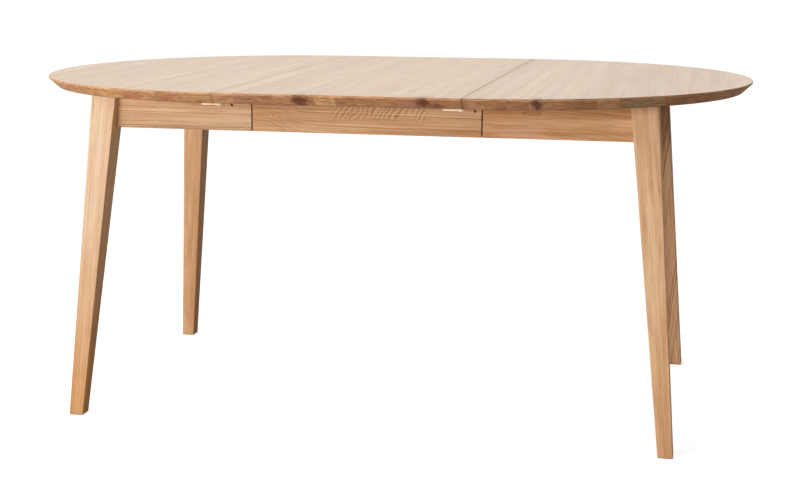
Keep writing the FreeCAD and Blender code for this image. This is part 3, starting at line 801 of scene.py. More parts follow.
def wood_surface(graph: Graph, space: BoardSpace, timber: Timber, figure: Figure) -> WoodSurface:
    """Solid wood: year rings round a pith, pores in the spring wood, rays across the rings.

    Args:
        graph: The material's graph.
        space: The board's coordinates.
        timber: The kind of wood.
        figure: What sets this board apart.

    Returns:
        The surface.
    """
    sawing, knots = figure.sawing, figure.knots
    log = replace(space, along=space.along + figure.seed * LOG_STEP)
    drift = graph.split(DRIFT.noise(log))
    side = (space.across - sawing.across - space.along * sawing.lean_across
            + (drift[0] - 0.5) * timber.sway)
    inward = (space.depth - sawing.behind - space.along * sawing.lean_behind
              + (drift[1] - 0.5) * timber.sway)
    radius = (side * side + inward * inward) ** 0.5 + bulge(space, figure.swirls) + knots * KNOT_PUSH
    angle = graph.math("ARCTAN2", inward, side)

    jitter = graph.clouds(radius * JITTER_UNITS, figure.seed + JITTER_SEED, 0.0, detail=1.0)
    years = radius / timber.ring_width + jitter * YEARS_ADRIFT
    year = years.floor()
    season = years - year
    age = graph.chance(year + figure.seed)[0]
    spring_end = age * SPRING_LONGER + SPRING_SHORTEST
    spring = (season.rise(*SPRING_START) * season.fall(SPRING_FALLS, spring_end)
              * (age * age * SPRING_STRONGER + SPRING_WEAKEST))

    fibre, patches, rows = FIBRES.over(log), PATCHES.over(log), ROWS.over(log)
    pores = PORES.mask(log) * (spring * PORES_IN_SPRING + PORES_ALWAYS)
    to_along, to_angle, to_radius = RAY_UNITS
    rays = graph.clouds(log.along * to_along, angle * to_angle, radius * to_radius, detail=1.0)
    flecks, ground = ripple_masks(graph, space, figure.ripples)

    face = graph.layer(
        timber.pale,
        (timber.warm, BANDS.mask(log)),
        (timber.blush, HAZE.mask(log) * timber.blush_depth),
        (timber.warm, patches.rise(PATCHES.low, PATCHES.high) * timber.mottle_depth),
        (timber.dark, fibre.rise(FIBRES.low, FIBRES.high) * timber.fibre_depth),
        (timber.fleck, STREAKS.mask(log) * timber.streak_depth),
        (timber.dark, spring * timber.ring_depth + ground * timber.ground_depth),
        (timber.fleck, rays.rise(*RAY_EDGES) * timber.fleck_depth + flecks))
    ends = graph.layer(
        figure.end_colour or timber.end_pale,
        (timber.end_red, patches.rise(*RED_PATCHES) * timber.end_red_depth),
        (timber.end_dark, (spring * timber.end_ring_depth
                           + rows.rise(ROWS.low, ROWS.high) * timber.row_depth)),
        (timber.end_light, rows.fall(*LIGHT_ROWS) * timber.end_light_depth))
    whole = graph.layer(
        face,
        (ends, space.end_facing * timber.end_depth),
        (timber.pore, pores * timber.pore_depth),
        (timber.knot, knots * timber.knot_depth))
    # Darker and warmer towards the foot, by the foot tint.
    foot_tint = graph.blend(whole, timber.foot_tint, figure.foot_darkening, "MULTIPLY")
    toned = graph.node("ShaderNodeHueSaturation", Value=figure.tone, Color=foot_tint)
    roughness = (timber.roughness + pores * PORE_ROUGH + (fibre - 0.5) * FIBRE_ROUGH
                 + space.end_facing * END_ROUGH)
    height = 0.5 - pores * PORE_DEEP - spring * SPRING_DEEP + fibre * FIBRE_TALL
    return WoodSurface(toned.outputs[0], roughness, height)


@dataclass(frozen=True)
class PanelFinish(WoodFinish):
    """Oiled wood on a panel glued up from staves that run across the table."""

    stave_start: float = 0.0
    stave_width: float = 0.0417
    stave_ends: tuple[Colour, ...] = ()
    edges: tuple[SeamEdge, ...] = ()
    # painted highlight: a lighter band along the top of the rim, where the rounded edge catches the light
    rim: Colour = Colour("DDAA7C")
    rim_highlight_tall: float = 0.004
    rim_highlight_share: float = 0.6
    # painted shadow: a darker band at the foot of the rim, where the shade under the top's edge falls
    arris_shade: float = 0.34
    pith_spread: float = 0.13
    pith_nearest: float = 0.035
    pith_range: float = 0.12
    lean_spread: Flat = (0.024, 0.02)
    tone_least: float = 0.958
    tone_range: float = 0.085
    end_lift: float = 0.05
    end_tone_range: float = 0.12
    rim_highlight_edge: Flat = (-0.0006, 0.0002)
    arris_edge: Flat = (0.0012, 0.0030)
    joint_edge: Flat = (0.0003, 0.0012)
    glue_depth: float = 0.5
    joint_drop: float = 0.2

    def space(self, graph: Graph) -> BoardSpace:
        """Turns the object's coordinates into the panel's own, with its whole rim as end grain."""
        x, y, z = graph.place()
        return BoardSpace(y, x, z, abs(graph.facing()[2]).fall(*FACES_FLAT))

    def surface(self, graph: Graph, space: BoardSpace, knots: Number) -> WoodSurface:
        """Gives every stave a log, a place in it and a tone of its own, and eases the edges.

        Args:
            graph: The material's graph.
            space: The panel's coordinates.
            knots: Mask of the knots.

        Returns:
            The surface.
        """
        stave = ((space.across - self.stave_start) / self.stave_width).floor()
        own = space.across - (stave + 0.5) * self.stave_width - self.stave_start
        sideways, depth, lean = graph.chance(stave + self.seed)
        light, end_tone, glue = graph.chance(stave + self.seed + SECOND_DRAW)
        lean_across, lean_behind = self.lean_spread
        sawing = Sawing(
            (sideways - 0.5) * self.pith_spread, depth * -self.pith_range - self.pith_nearest,
            (lean - 0.5) * lean_across, (sideways - 0.5) * lean_behind)
        tone = (light * self.tone_range + self.tone_least
                - space.end_facing * (end_tone * self.end_tone_range - self.end_lift))
        rim_low, rim_high = (TOP_FACE - self.rim_highlight_tall + edge for edge in self.rim_highlight_edge)
        # painted highlight: a lighter band along the top of the rim
        rim = space.depth.rise(rim_low, rim_high) * self.rim_highlight_share
        ends = graph.blend(graph.choose(stave, self.stave_ends), self.rim, rim)
        figure = Figure(sawing, stave * STAVE_STEP + self.seed, tone * self.tone, ends, knots)
        stave_space = BoardSpace(space.along, own, space.depth - TOP_FACE, space.end_facing)
        surface = wood_surface(graph, stave_space, self.timber, figure)

        ends_dark = self.timber.end_dark
        joint = (self.stave_width / 2 - abs(own)).fall(*self.joint_edge)
        # painted shadow: a darker band at the foot of the rim, under the top's edge
        arris = space.depth.fall(*(TOP_UNDERSIDE + edge for edge in self.arris_edge)) * space.end_facing
        tints = [(self.timber.dark, joint * (glue * glue * self.glue_depth)),
                 (ends_dark, arris * self.arris_shade)]
        for edge in self.edges:
            off = abs(space.across - edge.place)
            eased = graph.blend(edge.colour, ends_dark, space.end_facing)
            tints += [(eased, off.fall(0.0, edge.reach) * edge.strength),
                      # painted shadow in the seam's gap, on the rim
                      (ends_dark, off.fall(0.0, edge.rim_reach) * space.end_facing * edge.rim_gap_shadow)]
        colour = graph.layer(surface.colour, *tints)
        return WoodSurface(colour, surface.roughness, surface.height - joint * self.joint_drop)


# ---------------------------------------- metal
@dataclass(frozen=True)
class MetalFinish:
    """Brushed or plated metal with fine scratches and patches of dull film."""

    name: str
    bright: Colour
    dull: Colour
    metallic: float
    roughness: float
    brushing: Triple = (900.0, 900.0, 900.0)
    film_units: float = 140.0
    film_edge: Flat = (0.42, 0.66)
    film_share: float = 0.55
    film_rough: float = 0.12
    scratch_rough: float = 0.14
    relief: Flat = (0.2, 0.0001)

    @cache
    def material(self) -> bpy.types.Material:
        """Builds the material, once for all the pieces that share it.

        Returns:
            The material.
        """
        graph = Graph.of_material(self.name)
        place = graph.place()
        brushed = [axis * units for axis, units in zip(place, self.brushing)]
        scratches = graph.clouds(*brushed, detail=3.0)
        film = graph.clouds(*(axis * self.film_units for axis in place), detail=3.0)
        film = film.rise(*self.film_edge)
        roughness = self.roughness + film * self.film_rough + (scratches - 0.5) * self.scratch_rough
        return graph.finish(Base_Color=graph.blend(self.bright, self.dull, film * self.film_share),
                            Metallic=self.metallic, Roughness=roughness,
                            Normal=graph.bump(scratches, *self.relief))


# ---------------------------------------- turned pieces
class Drive(Enum):
    """The recess in a screw's head."""

    NONE = "plain"
    CROSS = "cross recess"
    SOCKET = "hexagon socket"


@dataclass(frozen=True)
class Thread:
    """A helical ridge along a screw, in metres from the outer end."""

    start: float
    stop: float
    pitch: float
    root: float
    crest: float


@dataclass(frozen=True)
class Turning:
    """A turned fastener: its outline as radius and height pairs from the outer end inwards."""

    outline: tuple[Flat, ...]
    drive: Drive = Drive.NONE
    drive_size: float = 0.0021
    drive_depth: float = 0.0013
    threads: tuple[Thread, ...] = ()
    sides: int = 24


def aimed(place: Vector | Triple, way: Vector, axis: str) -> Matrix:
    """The frame at a place that has one of its axes along a way."""
    return Matrix.Translation(place) @ way.to_track_quat(axis, "Y").to_matrix().to_4x4()


def add_object(name: str, data: bpy.types.ID | None) -> bpy.types.Object:
    """Adds an object to the scene.

    Args:
        name: Its name.
        data: Its mesh, lamp or camera.

    Returns:
        The object.
    """
    item = bpy.data.objects.new(name, data)
    bpy.context.scene.collection.objects.link(item)
    return item


# Distances within which corners are one, at one height, or a solid's two ends are as wide.
WELD = 1e-6
SAME_LEVEL = 1e-4
SAME_WIDTH = 1e-5


def islands(node: bpy.types.Object) -> list[bmesh.types.BMesh]:
    """Takes a node's separate solids apart, in an order that never changes.

    Each solid's list of faces grows while it is walked, until no neighbour is left.

    Args:
        node: The node's object, which isn't changed.

    Returns:
        One welded mesh for each solid.
    """
    whole = bmesh.new()
    whole.from_mesh(node.data)
    bmesh.ops.remove_doubles(whole, verts=whole.verts, dist=WELD)
    reached = set()
    found = []
    for start in whole.faces:
        if start in reached:
            continue
        reached.add(start)
        members = [start]
        for face in members:
            near = dict.fromkeys(other for edge in face.edges for other in edge.link_faces)
            members += [other for other in near if other not in reached]
            reached.update(near)
        part = bmesh.new()
        used = dict.fromkeys(vert for face in members for vert in face.verts)
        corners = {vert: part.verts.new(vert.co) for vert in used}
        for face in members:
            part.faces.new([corners[vert] for vert in face.verts])
        part.normal_update()
        found.append(part)
    whole.free()
    return sorted(found, key=rounded_middle)


def rounded_middle(part: bmesh.types.BMesh) -> tuple[float, ...]:
    """The mean place of a mesh's corners, to a tenth of a millimetre."""
    middle = sum((vert.co for vert in part.verts), Vector()) / len(part.verts)
    return tuple(round(number, 4) for number in middle)


def outer_end(part: bmesh.types.BMesh) -> Matrix:
    """Finds where a turned or hexagonal solid sits.

    The faces of such a solid lean equally to all sides of its axis, so the axis is the one direction
    whose share of the faces differs from the other two.

    Args:
        part: The solid.

    Returns:
        The frame at the middle of its wider end, with +Z along the axis, inwards.
    """
    spread = sum(face.calc_area() * numpy.outer(face.normal, face.normal) for face in part.faces)
    shares, ways = numpy.linalg.eigh(spread)
    odd = 0 if shares[1] - shares[0] > shares[2] - shares[1] else 2
    axis, first, second = (Vector(ways[:, number]) for number in (odd, 1, 2 - odd))
    corners = [vert.co for vert in part.verts]
    across = [(min(way.dot(c) for c in corners) + max(way.dot(c) for c in corners)) / 2
              for way in (first, second)]
    centre = first * across[0] + second * across[1]
    heights = [axis.dot(corner) for corner in corners]

    def width_at(level: float) -> float:
        """The widest reach of the corners near one height."""
        return max((corner - centre - axis * height).length
                   for corner, height in zip(corners, heights) if abs(height - level) < SAME_LEVEL)

    low, high = min(heights), max(heights)
    if width_at(low) >= width_at(high) - SAME_WIDTH:
        return aimed(centre + axis * low, axis, "Z")
    return aimed(centre + axis * high, -axis, "Z")


# Shares of a thread's pitch or core, of a recess's size and of a nut's width or bore.
THREAD_SUNK = 0.96
THREAD_FOOT = 0.42
THREAD_FLAT = 0.12
THREAD_LEAST = 0.02
CROSS_ARM = 0.30
CROSS_FLOOR_ARM = 0.36
CROSS_TAPER = 0.72
SOCKET_TAPER = 0.98
NUT_BEVEL = 0.96
NUT_LIP = 0.12
SOFT_STEP = 0.3
# Corners to a turn, turns and angles.
THREAD_STEPS = 16
THREAD_RUN_IN = 0.75
SOCKET_SIDES = 6
NUT_SIDES = 48
BORE_SIDES = 24
NUT_SLOPE = math.radians(30)
CREASE = math.radians(32)
SHARPEST = 0.35


class Lathe:
    """Builds turned, threaded and sawn metal pieces in one mesh."""

    def __init__(self) -> None:
        """Starts with an empty mesh."""
        self.shape = bmesh.new()

    def corner(self, place: Matrix, x: float, y: float, height: float) -> bmesh.types.BMVert:
        """Adds a corner."""
        return self.shape.verts.new(place @ Vector((x, y, height)))

    def round_corner(self, place: Matrix, radius: float, angle: float,
                     height: float) -> bmesh.types.BMVert:
        """Adds a corner at a radius and an angle."""
        return self.corner(place, radius * math.cos(angle), radius * math.sin(angle), height)

    def loop(self, points: Iterable[Flat], height: float, place: Matrix) -> Row:
        """Adds a closed row of corners at one height."""
        return [self.corner(place, x, y, height) for x, y in points]

    def skin(self, rows: Sequence[Row], closed: bool = True) -> None:
        """Joins each row of corners to the next with faces.

        Args:
            rows: Rows of the same length.
            closed: Whether each row goes all the way round.
        """
        for first, second in zip(rows, rows[1:]):
            for number in range(len(first) if closed else len(first) - 1):
                after = (number + 1) % len(first)
                self.shape.faces.new((first[number], first[after], second[after], second[number]))

    def close(self, *rows: Row) -> None:
        """Fills the flat area between closed rows, or inside one.

        Args:
            rows: The rows.
        """
        edges = []
        for row in rows:
            for pair in zip(row, [*row[1:], row[0]]):
                edges.append(self.shape.edges.get(pair) or self.shape.edges.new(pair))
        bmesh.ops.triangle_fill(self.shape, use_beauty=True, edges=edges)

    def turn(self, piece: Turning, place: Matrix) -> None:
        """Adds a turned fastener.

        Args:
            piece: Its shape.
            place: Where it sits.
        """
        rows = [self.loop(circle(radius, piece.sides), height, place)
                for radius, height in piece.outline if radius > 0]
        self.skin(rows)
        tip = self.corner(place, 0.0, 0.0, piece.outline[-1][1])
        for pair in zip(rows[-1], [*rows[-1][1:], rows[-1][0]]):
            self.shape.faces.new((*pair, tip))
        if piece.drive is Drive.NONE:
            self.close(rows[0])
        else:
            self.recess(rows[0], piece, place)
        for thread in piece.threads:
            self.ridge(thread, place)

    def recess(self, rim: Row, piece: Turning, place: Matrix) -> None:
        """Sinks the driver's recess into the outer face.

        Args:
            rim: The outer face's corners.
            piece: The fastener.
            place: Where it sits.
        """
        if piece.drive is Drive.CROSS:
            mouth = cross(piece.drive_size, CROSS_ARM)
            bottom = cross(piece.drive_size * CROSS_TAPER, CROSS_FLOOR_ARM)
        else:
            mouth = circle(piece.drive_size, SOCKET_SIDES)
            bottom = circle(piece.drive_size * SOCKET_TAPER, SOCKET_SIDES)
        height = piece.outline[0][1]
        edge = self.loop(mouth, height, place)
        floor = self.loop(bottom, height + piece.drive_depth, place)
        self.close(rim, edge)
        self.skin([edge, floor])
        self.close(floor)

    def ridge(self, thread: Thread, place: Matrix) -> None:
        """Adds a helical ridge that starts and ends flush with the core.

        Args:
            thread: Its sizes.
            place: Where the screw sits.
        """
        total = round((thread.stop - thread.start) / thread.pitch * THREAD_STEPS)
        sunk = thread.root * THREAD_SUNK
        foot = thread.pitch * THREAD_FOOT
        flat = foot * THREAD_FLAT
        run_in = THREAD_STEPS * THREAD_RUN_IN
        rows = []
        for number in range(total + 1):
            angle = 2 * math.pi * number / THREAD_STEPS
            middle = thread.start + thread.pitch * number / THREAD_STEPS
            rise = max(THREAD_LEAST, min(1.0, number / run_in, (total - number) / run_in))
            crest = sunk + (thread.crest - sunk) * rise
            profile = ((sunk, -foot), (crest, -flat), (crest, flat), (sunk, foot))
            rows.append([self.round_corner(place, reach, angle, middle + off) for reach, off in profile])
        self.skin(rows, closed=False)

    def hexagon(self, flats: float, bore: float, tall: float, place: Matrix) -> None:
        """Adds a nut with a bevel at its corners and at both ends of its bore.

        Args:
            flats: Distance over two opposite flats.
            bore: Radius of the bore.
            tall: Its height.
            place: Where it sits.
        """
        sixth = math.pi / 3
        angles = [2 * math.pi * number / NUT_SIDES for number in range(NUT_SIDES)]
        reach = [flats / 2 / math.cos((angle + sixth / 2) % sixth - sixth / 2) for angle in angles]
        face = flats / 2 * NUT_BEVEL
        drop = [max(0.0, out - face) * math.tan(NUT_SLOPE) for out in reach]
        lip = bore * NUT_LIP
        rings = [[(bore + lip, 0.0)] * NUT_SIDES, [(face, 0.0)] * NUT_SIDES, zip(reach, drop),
                 zip(reach, (tall - fall for fall in drop)), [(face, tall)] * NUT_SIDES,
                 [(bore + lip, tall)] * NUT_SIDES, [(bore, tall - lip)] * NUT_SIDES,
                 [(bore, lip)] * NUT_SIDES]
        rows = [[self.round_corner(place, radius, angle, height)
                 for (radius, height), angle in zip(ring, angles)] for ring in rings]
        self.skin([*rows, rows[0]])

    def plate(self, outline: Sequence[Flat], bore: float, thick: float, soft: float,
              place: Matrix) -> None:
        """Adds a flat plate with softened rims and a round bore at the origin.

        Args:
            outline: Its outer edge, anticlockwise.
            bore: Radius of the bore.
            thick: Its thickness.
            soft: Width of the softened rim.
            place: Where it sits.
        """
        step = soft * SOFT_STEP
        rims = [(inset(outline, soft), 0.0), (inset(outline, step), step), (outline, soft)]
        rims += [(points, thick - height) for points, height in reversed(rims)]
        rows = [self.loop(points, height, place) for points, height in rims]
        holes = [self.loop(circle(bore, BORE_SIDES), height, place) for height in (0.0, thick)]
        self.skin(rows)
        self.skin(holes)
        self.close(rows[0], holes[0])
        self.close(rows[-1], holes[1])

    def finish(self, name: str, finish: MetalFinish) -> bpy.types.Object:
        """Turns the mesh into an object, with its sharp edges kept.

        Args:
            name: Name of the object.
            finish: Its metal.

        Returns:
            The object.
        """
        bmesh.ops.remove_doubles(self.shape, verts=self.shape.verts, dist=WELD / 10)
        bmesh.ops.recalc_face_normals(self.shape, faces=self.shape.faces)
        for face in self.shape.faces:
            face.smooth = True
        for edge in self.shape.edges:
            edge.smooth = len(edge.link_faces) == 2 and edge.calc_face_angle(0.0) < CREASE
        mesh = bpy.data.meshes.new(name)
        self.shape.to_mesh(mesh)
        self.shape.free()
        mesh.materials.append(finish.material())
        return add_object(name, mesh)


def circle(radius: float, count: int) -> list[Flat]:
    """Corners of a regular polygon, anticlockwise."""
    angles = [2 * math.pi * number / count for number in range(count)]
    return [(radius * math.cos(angle), radius * math.sin(angle)) for angle in angles]


def cross(reach: float, share: float) -> list[Flat]:
    """Draws a cross, anticlockwise.

    Args:
        reach: Length of an arm from the middle.
        share: Half the arm's width as a share of its length.

    Returns:
        The twelve corners.
    """
    half = reach * share
    arm = [(reach, -half), (reach, half), (half, half)]
    turns = [(1, 0), (0, 1), (-1, 0), (0, -1)]
    return [(x * c - y * s, x * s + y * c) for c, s in turns for x, y in arm]


def inset(outline: Sequence[Flat], amount: float) -> list[Flat]:
    """Moves a closed outline inwards.

    Args:
        outline: Its corners, anticlockwise.
        amount: How far each side moves.

    Returns:
        The moved corners.
    """
    moved = []
    for number, (x, y) in enumerate(outline):
        before, after = outline[number - 1], outline[(number + 1) % len(outline)]
        way_in = Vector((x - before[0], y - before[1])).normalized()
        way_out = Vector((after[0] - x, after[1] - y)).normalized()
        sides = Vector((-way_in.y - way_out.y, way_in.x + way_out.x)).normalized()
        stretch = max(SHARPEST, sides.dot(Vector((-way_in.y, way_in.x))))
        moved.append((x + sides.x * amount / stretch, y + sides.y * amount / stretch))
    return moved


# ---------------------------------------- sub-assemblies
def dress(node: str, finish: WoodFinish | MetalFinish) -> None:
    """Gives a node of the frame its finish.

    Args:
        node: Name of the node.
        finish: Its finish.
    """
    item = bpy.data.objects[node]
    item.data.materials.clear()
    item.data.materials.append(finish.material())
    LOG.info("%s: %s", node, finish.name)


def dress_board(node: str, timber: Timber, grain: Grain, sawing: Sawing, seed: float,
                **marks: Any) -> None:
    """Dresses a board in a wood finish of its own.

    Args:
        node: Name of the board's node.
        timber: Its wood.
        grain: The way its fibres run.
        sawing: Where it lay in its log.
        seed: Number that sets its figure apart.
        marks: What else sets it apart, as fields of WoodFinish.
    """
    dress(node, WoodFinish(f"{node}_{timber.kind}", timber, grain, sawing, seed, **marks))


def mount(piece: bpy.types.Object, node: str, slot: str) -> None:
    """Puts a detailed piece in the place of a plain node.

    Args:
        piece: The detailed piece.
        node: Name of the node that it stands for.
        slot: Name of the record's material slot; not used.
    """
    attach(piece, bpy.data.objects[node]["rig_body"])
    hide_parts(node)
    LOG.info("%s: stands for %s", piece.name, node)


def mount_turned(node: str, shape: Turning, finish: MetalFinish) -> None:
    """Puts a turned piece at each of a node's solids.

    Args:
        node: Name of the node that they stand for.
        shape: The piece.
        finish: Its metal.
    """
    lathe = Lathe()
    for part in islands(bpy.data.objects[node]):
        lathe.turn(shape, outer_end(part))
    mount(lathe.finish(node + "_detail", finish), node, finish.name)


class Side(Enum):
    """A half of the table, by its way along +X."""

    LEFT = -1
    RIGHT = 1


class End(Enum):
    """The front or the rear of the table, by its way along +Y."""

    FRONT = -1
    REAR = 1


def quarter(side: Side, end: End) -> str:
    """The words that start the names of one quarter's nodes."""
    return f"{side.name}_{end.name}".lower()


HONEY = Colour("E2AE72")
GOLDEN = Colour("D09B62")
TAN = Colour("C99166")
BROWN = Colour("AE784F")
RUSSET = Colour("C1805A")
MAUVE = Colour("AC775B")
OLIVE = Colour("A5865F")
UMBER = Colour("A06A40")


@dataclass(frozen=True)
class TableTop:
    """The two half-round ends and the leaf, each glued up from staves."""

    seam: float = 0.25
    stave_width: float = 0.0417
    half_staves: int = 14

    def build(self) -> None:
        """Dresses the three panels."""
        self.panel("left_top", -self.seam - self.half_staves * self.stave_width, 11.0, 1.0,
                   (OLIVE, OLIVE, TAN, OLIVE, TAN, TAN, TAN, GOLDEN, GOLDEN, RUSSET, TAN, RUSSET, TAN,
                    GOLDEN),
                   SeamEdge(-self.seam, 0.2, 0.004))
        self.panel("leaf_top", -self.seam, 47.0, 0.985,
                   (TAN, MAUVE, BROWN, TAN, BROWN, HONEY, BROWN, BROWN, BROWN, MAUVE, RUSSET, BROWN),
                   SeamEdge(self.seam, 0.4, 0.0065, rim_gap_shadow=0.85),
                   Knot((-0.070, -0.547, 0.737), (0.017, 0.030, 0.012)),
                   Knot((0.174, -0.547, 0.739), (0.014, 0.026, 0.013)),
                   Knot((0.202, -0.541, 0.732), (0.014, 0.022, 0.006), 0.8))
        # The right panel's stave ends are browner and darker: partly their own colour, partly painted
        # shade for light that comes from the left.
        self.panel("right_top", self.seam, 83.0, 0.98,
                   (TAN, BROWN, BROWN, TAN, BROWN, UMBER, TAN, OLIVE, OLIVE, UMBER, UMBER, BROWN, UMBER,
                    BROWN),
                   SeamEdge(self.seam, 0.36, 0.022, rim_gap_shadow=0.85),
                   Knot((0.392, -0.528, 0.738), (0.011, 0.030, 0.014)))

    def panel(self, node: str, start: float, seed: float, tone: float, ends: tuple[Colour, ...],
              edge: SeamEdge, *knots: Knot) -> None:
        """Dresses one panel.

        Args:
            node: Name of the panel's node.
            start: Where its first stave starts along the table.
            seed: Number that sets its figure apart.
            tone: How light it is; below 1 it is painted shade, for light that falls off towards the right.
            ends: Colour of each stave's end.
            edge: Its darker band at a seam, and the painted shadow line in the seam's gap on the rim.
            knots: Its knots.
        """
        dress(node, PanelFinish(node + "_oak", TOP_OAK, Grain.CROSSWISE, Sawing(), seed=seed, tone=tone,
                                stave_start=start, stave_width=self.stave_width, stave_ends=ends,
                                edges=(edge,), knots=knots))


@dataclass(frozen=True)
class ApronFrame:
    """The aprons, and the blocks and cleats behind them."""

    block_sawing: Sawing = Sawing(0.6, 0.2)
    cleat_sawing: Sawing = Sawing(0.8, 0.3)
    end_sawing: Sawing = Sawing(0.42, 0.60, 0.02, 0.0)

    def build(self) -> None:
        """Dresses every board of the frame."""
        self.front_aprons()
        for node, sawing, seed in (("left_rear_apron", Sawing(0.62, 0.20, 0.03, 0.0), 17.0),
                                   ("leaf_rear_apron", Sawing(0.78, 0.18, 0.0, 0.02), 23.0),
                                   ("right_rear_apron", Sawing(0.56, 0.22, 0.0, 0.0), 29.0)):
            dress_board(node, OAK, Grain.LENGTHWISE, sawing, seed)
        for node, seed in (("left_end_apron", 37.0), ("right_end_apron", 41.0)):
            dress_board(node, OAK, Grain.CROSSWISE, self.end_sawing, seed)
        for side, end in product(Side, End):
            dress_board(quarter(side, end) + "_corner_block", BEECH, Grain.LENGTHWISE,
                        self.block_sawing, 5.0)
        for node, seed in (("left_top_cleats", 9.0), ("right_top_cleats", 9.0), ("leaf_cleats", 19.0)):
            dress_board(node, BEECH, Grain.LENGTHWISE, self.cleat_sawing, seed)

    def front_aprons(self) -> None:
        """Dresses the three boards that show most."""
        # painted light: upper_light lifts the shade under the top's overhang on this apron
        dress_board("left_front_apron", PALE_OAK, Grain.LENGTHWISE, Sawing(-0.22, 0.02), 3.0, tone=0.88,
                    upper_light=0.22,
                    ripples=(Ripple(-0.56, -0.34, 0.700, 0.728, spacing=0.0085, strength=0.45),))
        dress_board("leaf_front_apron", BROAD_OAK, Grain.LENGTHWISE, Sawing(0.760, -0.330, -0.02, 0.0),
                    7.0, tone=0.955, ripples=(Ripple(-0.085, 0.150, 0.668, 0.722),),
                    swirls=(Swirl(-0.185, 0.686, 0.026, 0.013, 0.017),
                            Swirl(-0.275, 0.665, 0.11, 0.07, 0.034)))
        dress_board("right_front_apron", CLOUDED_OAK, Grain.LENGTHWISE, Sawing(0.60, -0.22, -0.08, 0.0),
                    13.0, tone=1.05,
                    swirls=(Swirl(0.345, 0.688, 0.050, 0.013, 0.009),
                            Swirl(0.40, 0.655, 0.12, 0.02, -0.010)))


@dataclass(frozen=True)
class Legs:
    """The four tapered, splayed legs."""

    top_middle: Flat = (0.582, 0.282)
    foot_middle: Flat = (0.653, 0.355)
    pith_beyond_foot: Flat = (0.05, -0.07)

    def build(self) -> None:
        """Dresses each leg."""
        # Each flank colour is painted shade on the leg's face that looks to +X.
        self.leg(Side.LEFT, End.FRONT, CREAM_OAK, 51.0, tone=1.02, foot_depth=1.0,
                 flank=Colour("FFF6E0"))
        self.leg(Side.RIGHT, End.FRONT, LEG_OAK, 58.0, tone=1.06, foot_depth=0.35,
                 flank=Colour("F0E0C4"))
        self.leg(Side.LEFT, End.REAR, LEG_OAK, 65.0, tone=1.06, foot_depth=0.5,
                 flank=Colour("E2DED8"))
        # painted shadow: head_shade darkens this leg towards its top, where the table top shades it
        self.leg(Side.RIGHT, End.REAR, STREAKED_OAK, 72.0, 0.22, tone=1.07, head_shade=0.36,
                 # A dark patch near the top of the leg, drawn as a knot.
                 knots=(Knot((0.590, 0.250, 0.702), (0.012, 0.020, 0.013), 0.8),))

    def leg(self, side: Side, end: End, timber: Timber, seed: float, lean_across: float = 0.0,
            **marks: Any) -> None:
        """Dresses one leg, with grain that follows its slope.

        Args:
            side: The half that it stands under.
            end: The end of that half.
            timber: Its wood.
            seed: Number that sets its figure apart.
            lean_across: How far its log leaned.
            marks: What else sets it apart, as fields of WoodFinish.
        """
        ways = (side.value, end.value)
        pith = [(foot + beyond) * way for foot, beyond, way
                in zip(self.foot_middle, self.pith_beyond_foot, ways)]
        slope = tuple((top - foot) / TOP_UNDERSIDE * way for top, foot, way
                      in zip(self.top_middle, self.foot_middle, ways))
        dress_board(quarter(side, end) + "_leg", timber, Grain.UPRIGHT, Sawing(*pith, lean_across), seed,
                    slope=slope, **marks)


@dataclass(frozen=True)
class Runners:
    """The telescoping runners and their cross rail."""

    pith_across: float = 0.78
    pith_behind: float = 0.1
    rail_sawing: Sawing = Sawing(0.0, 0.60)

    def build(self) -> None:
        """Dresses the runners."""
        for number, part in enumerate(("left", "middle", "right")):
            for end in End:
                dress_board(f"{part}_{end.name.lower()}_runner", BEECH, Grain.LENGTHWISE,
                            Sawing(self.pith_across, end.value * self.pith_behind),
                            61.0 + 3 * number + end.value)
        dress_board("middle_cross_rail", BEECH, Grain.CROSSWISE, self.rail_sawing, 71.0)


ZINC = MetalFinish("zinc_steel", Colour("C9CCCF"), Colour("9A9DA0"), 1.0, 0.34)
BRASS = MetalFinish("catch_brass", Colour("EFDDBC"), Colour("D9BF90"), 0.9, 0.42, (60.0, 2500.0, 2500.0))
BROWNED = MetalFinish("dark_steel", Colour("6B401F"), Colour("42240E"), 0.6, 0.48)


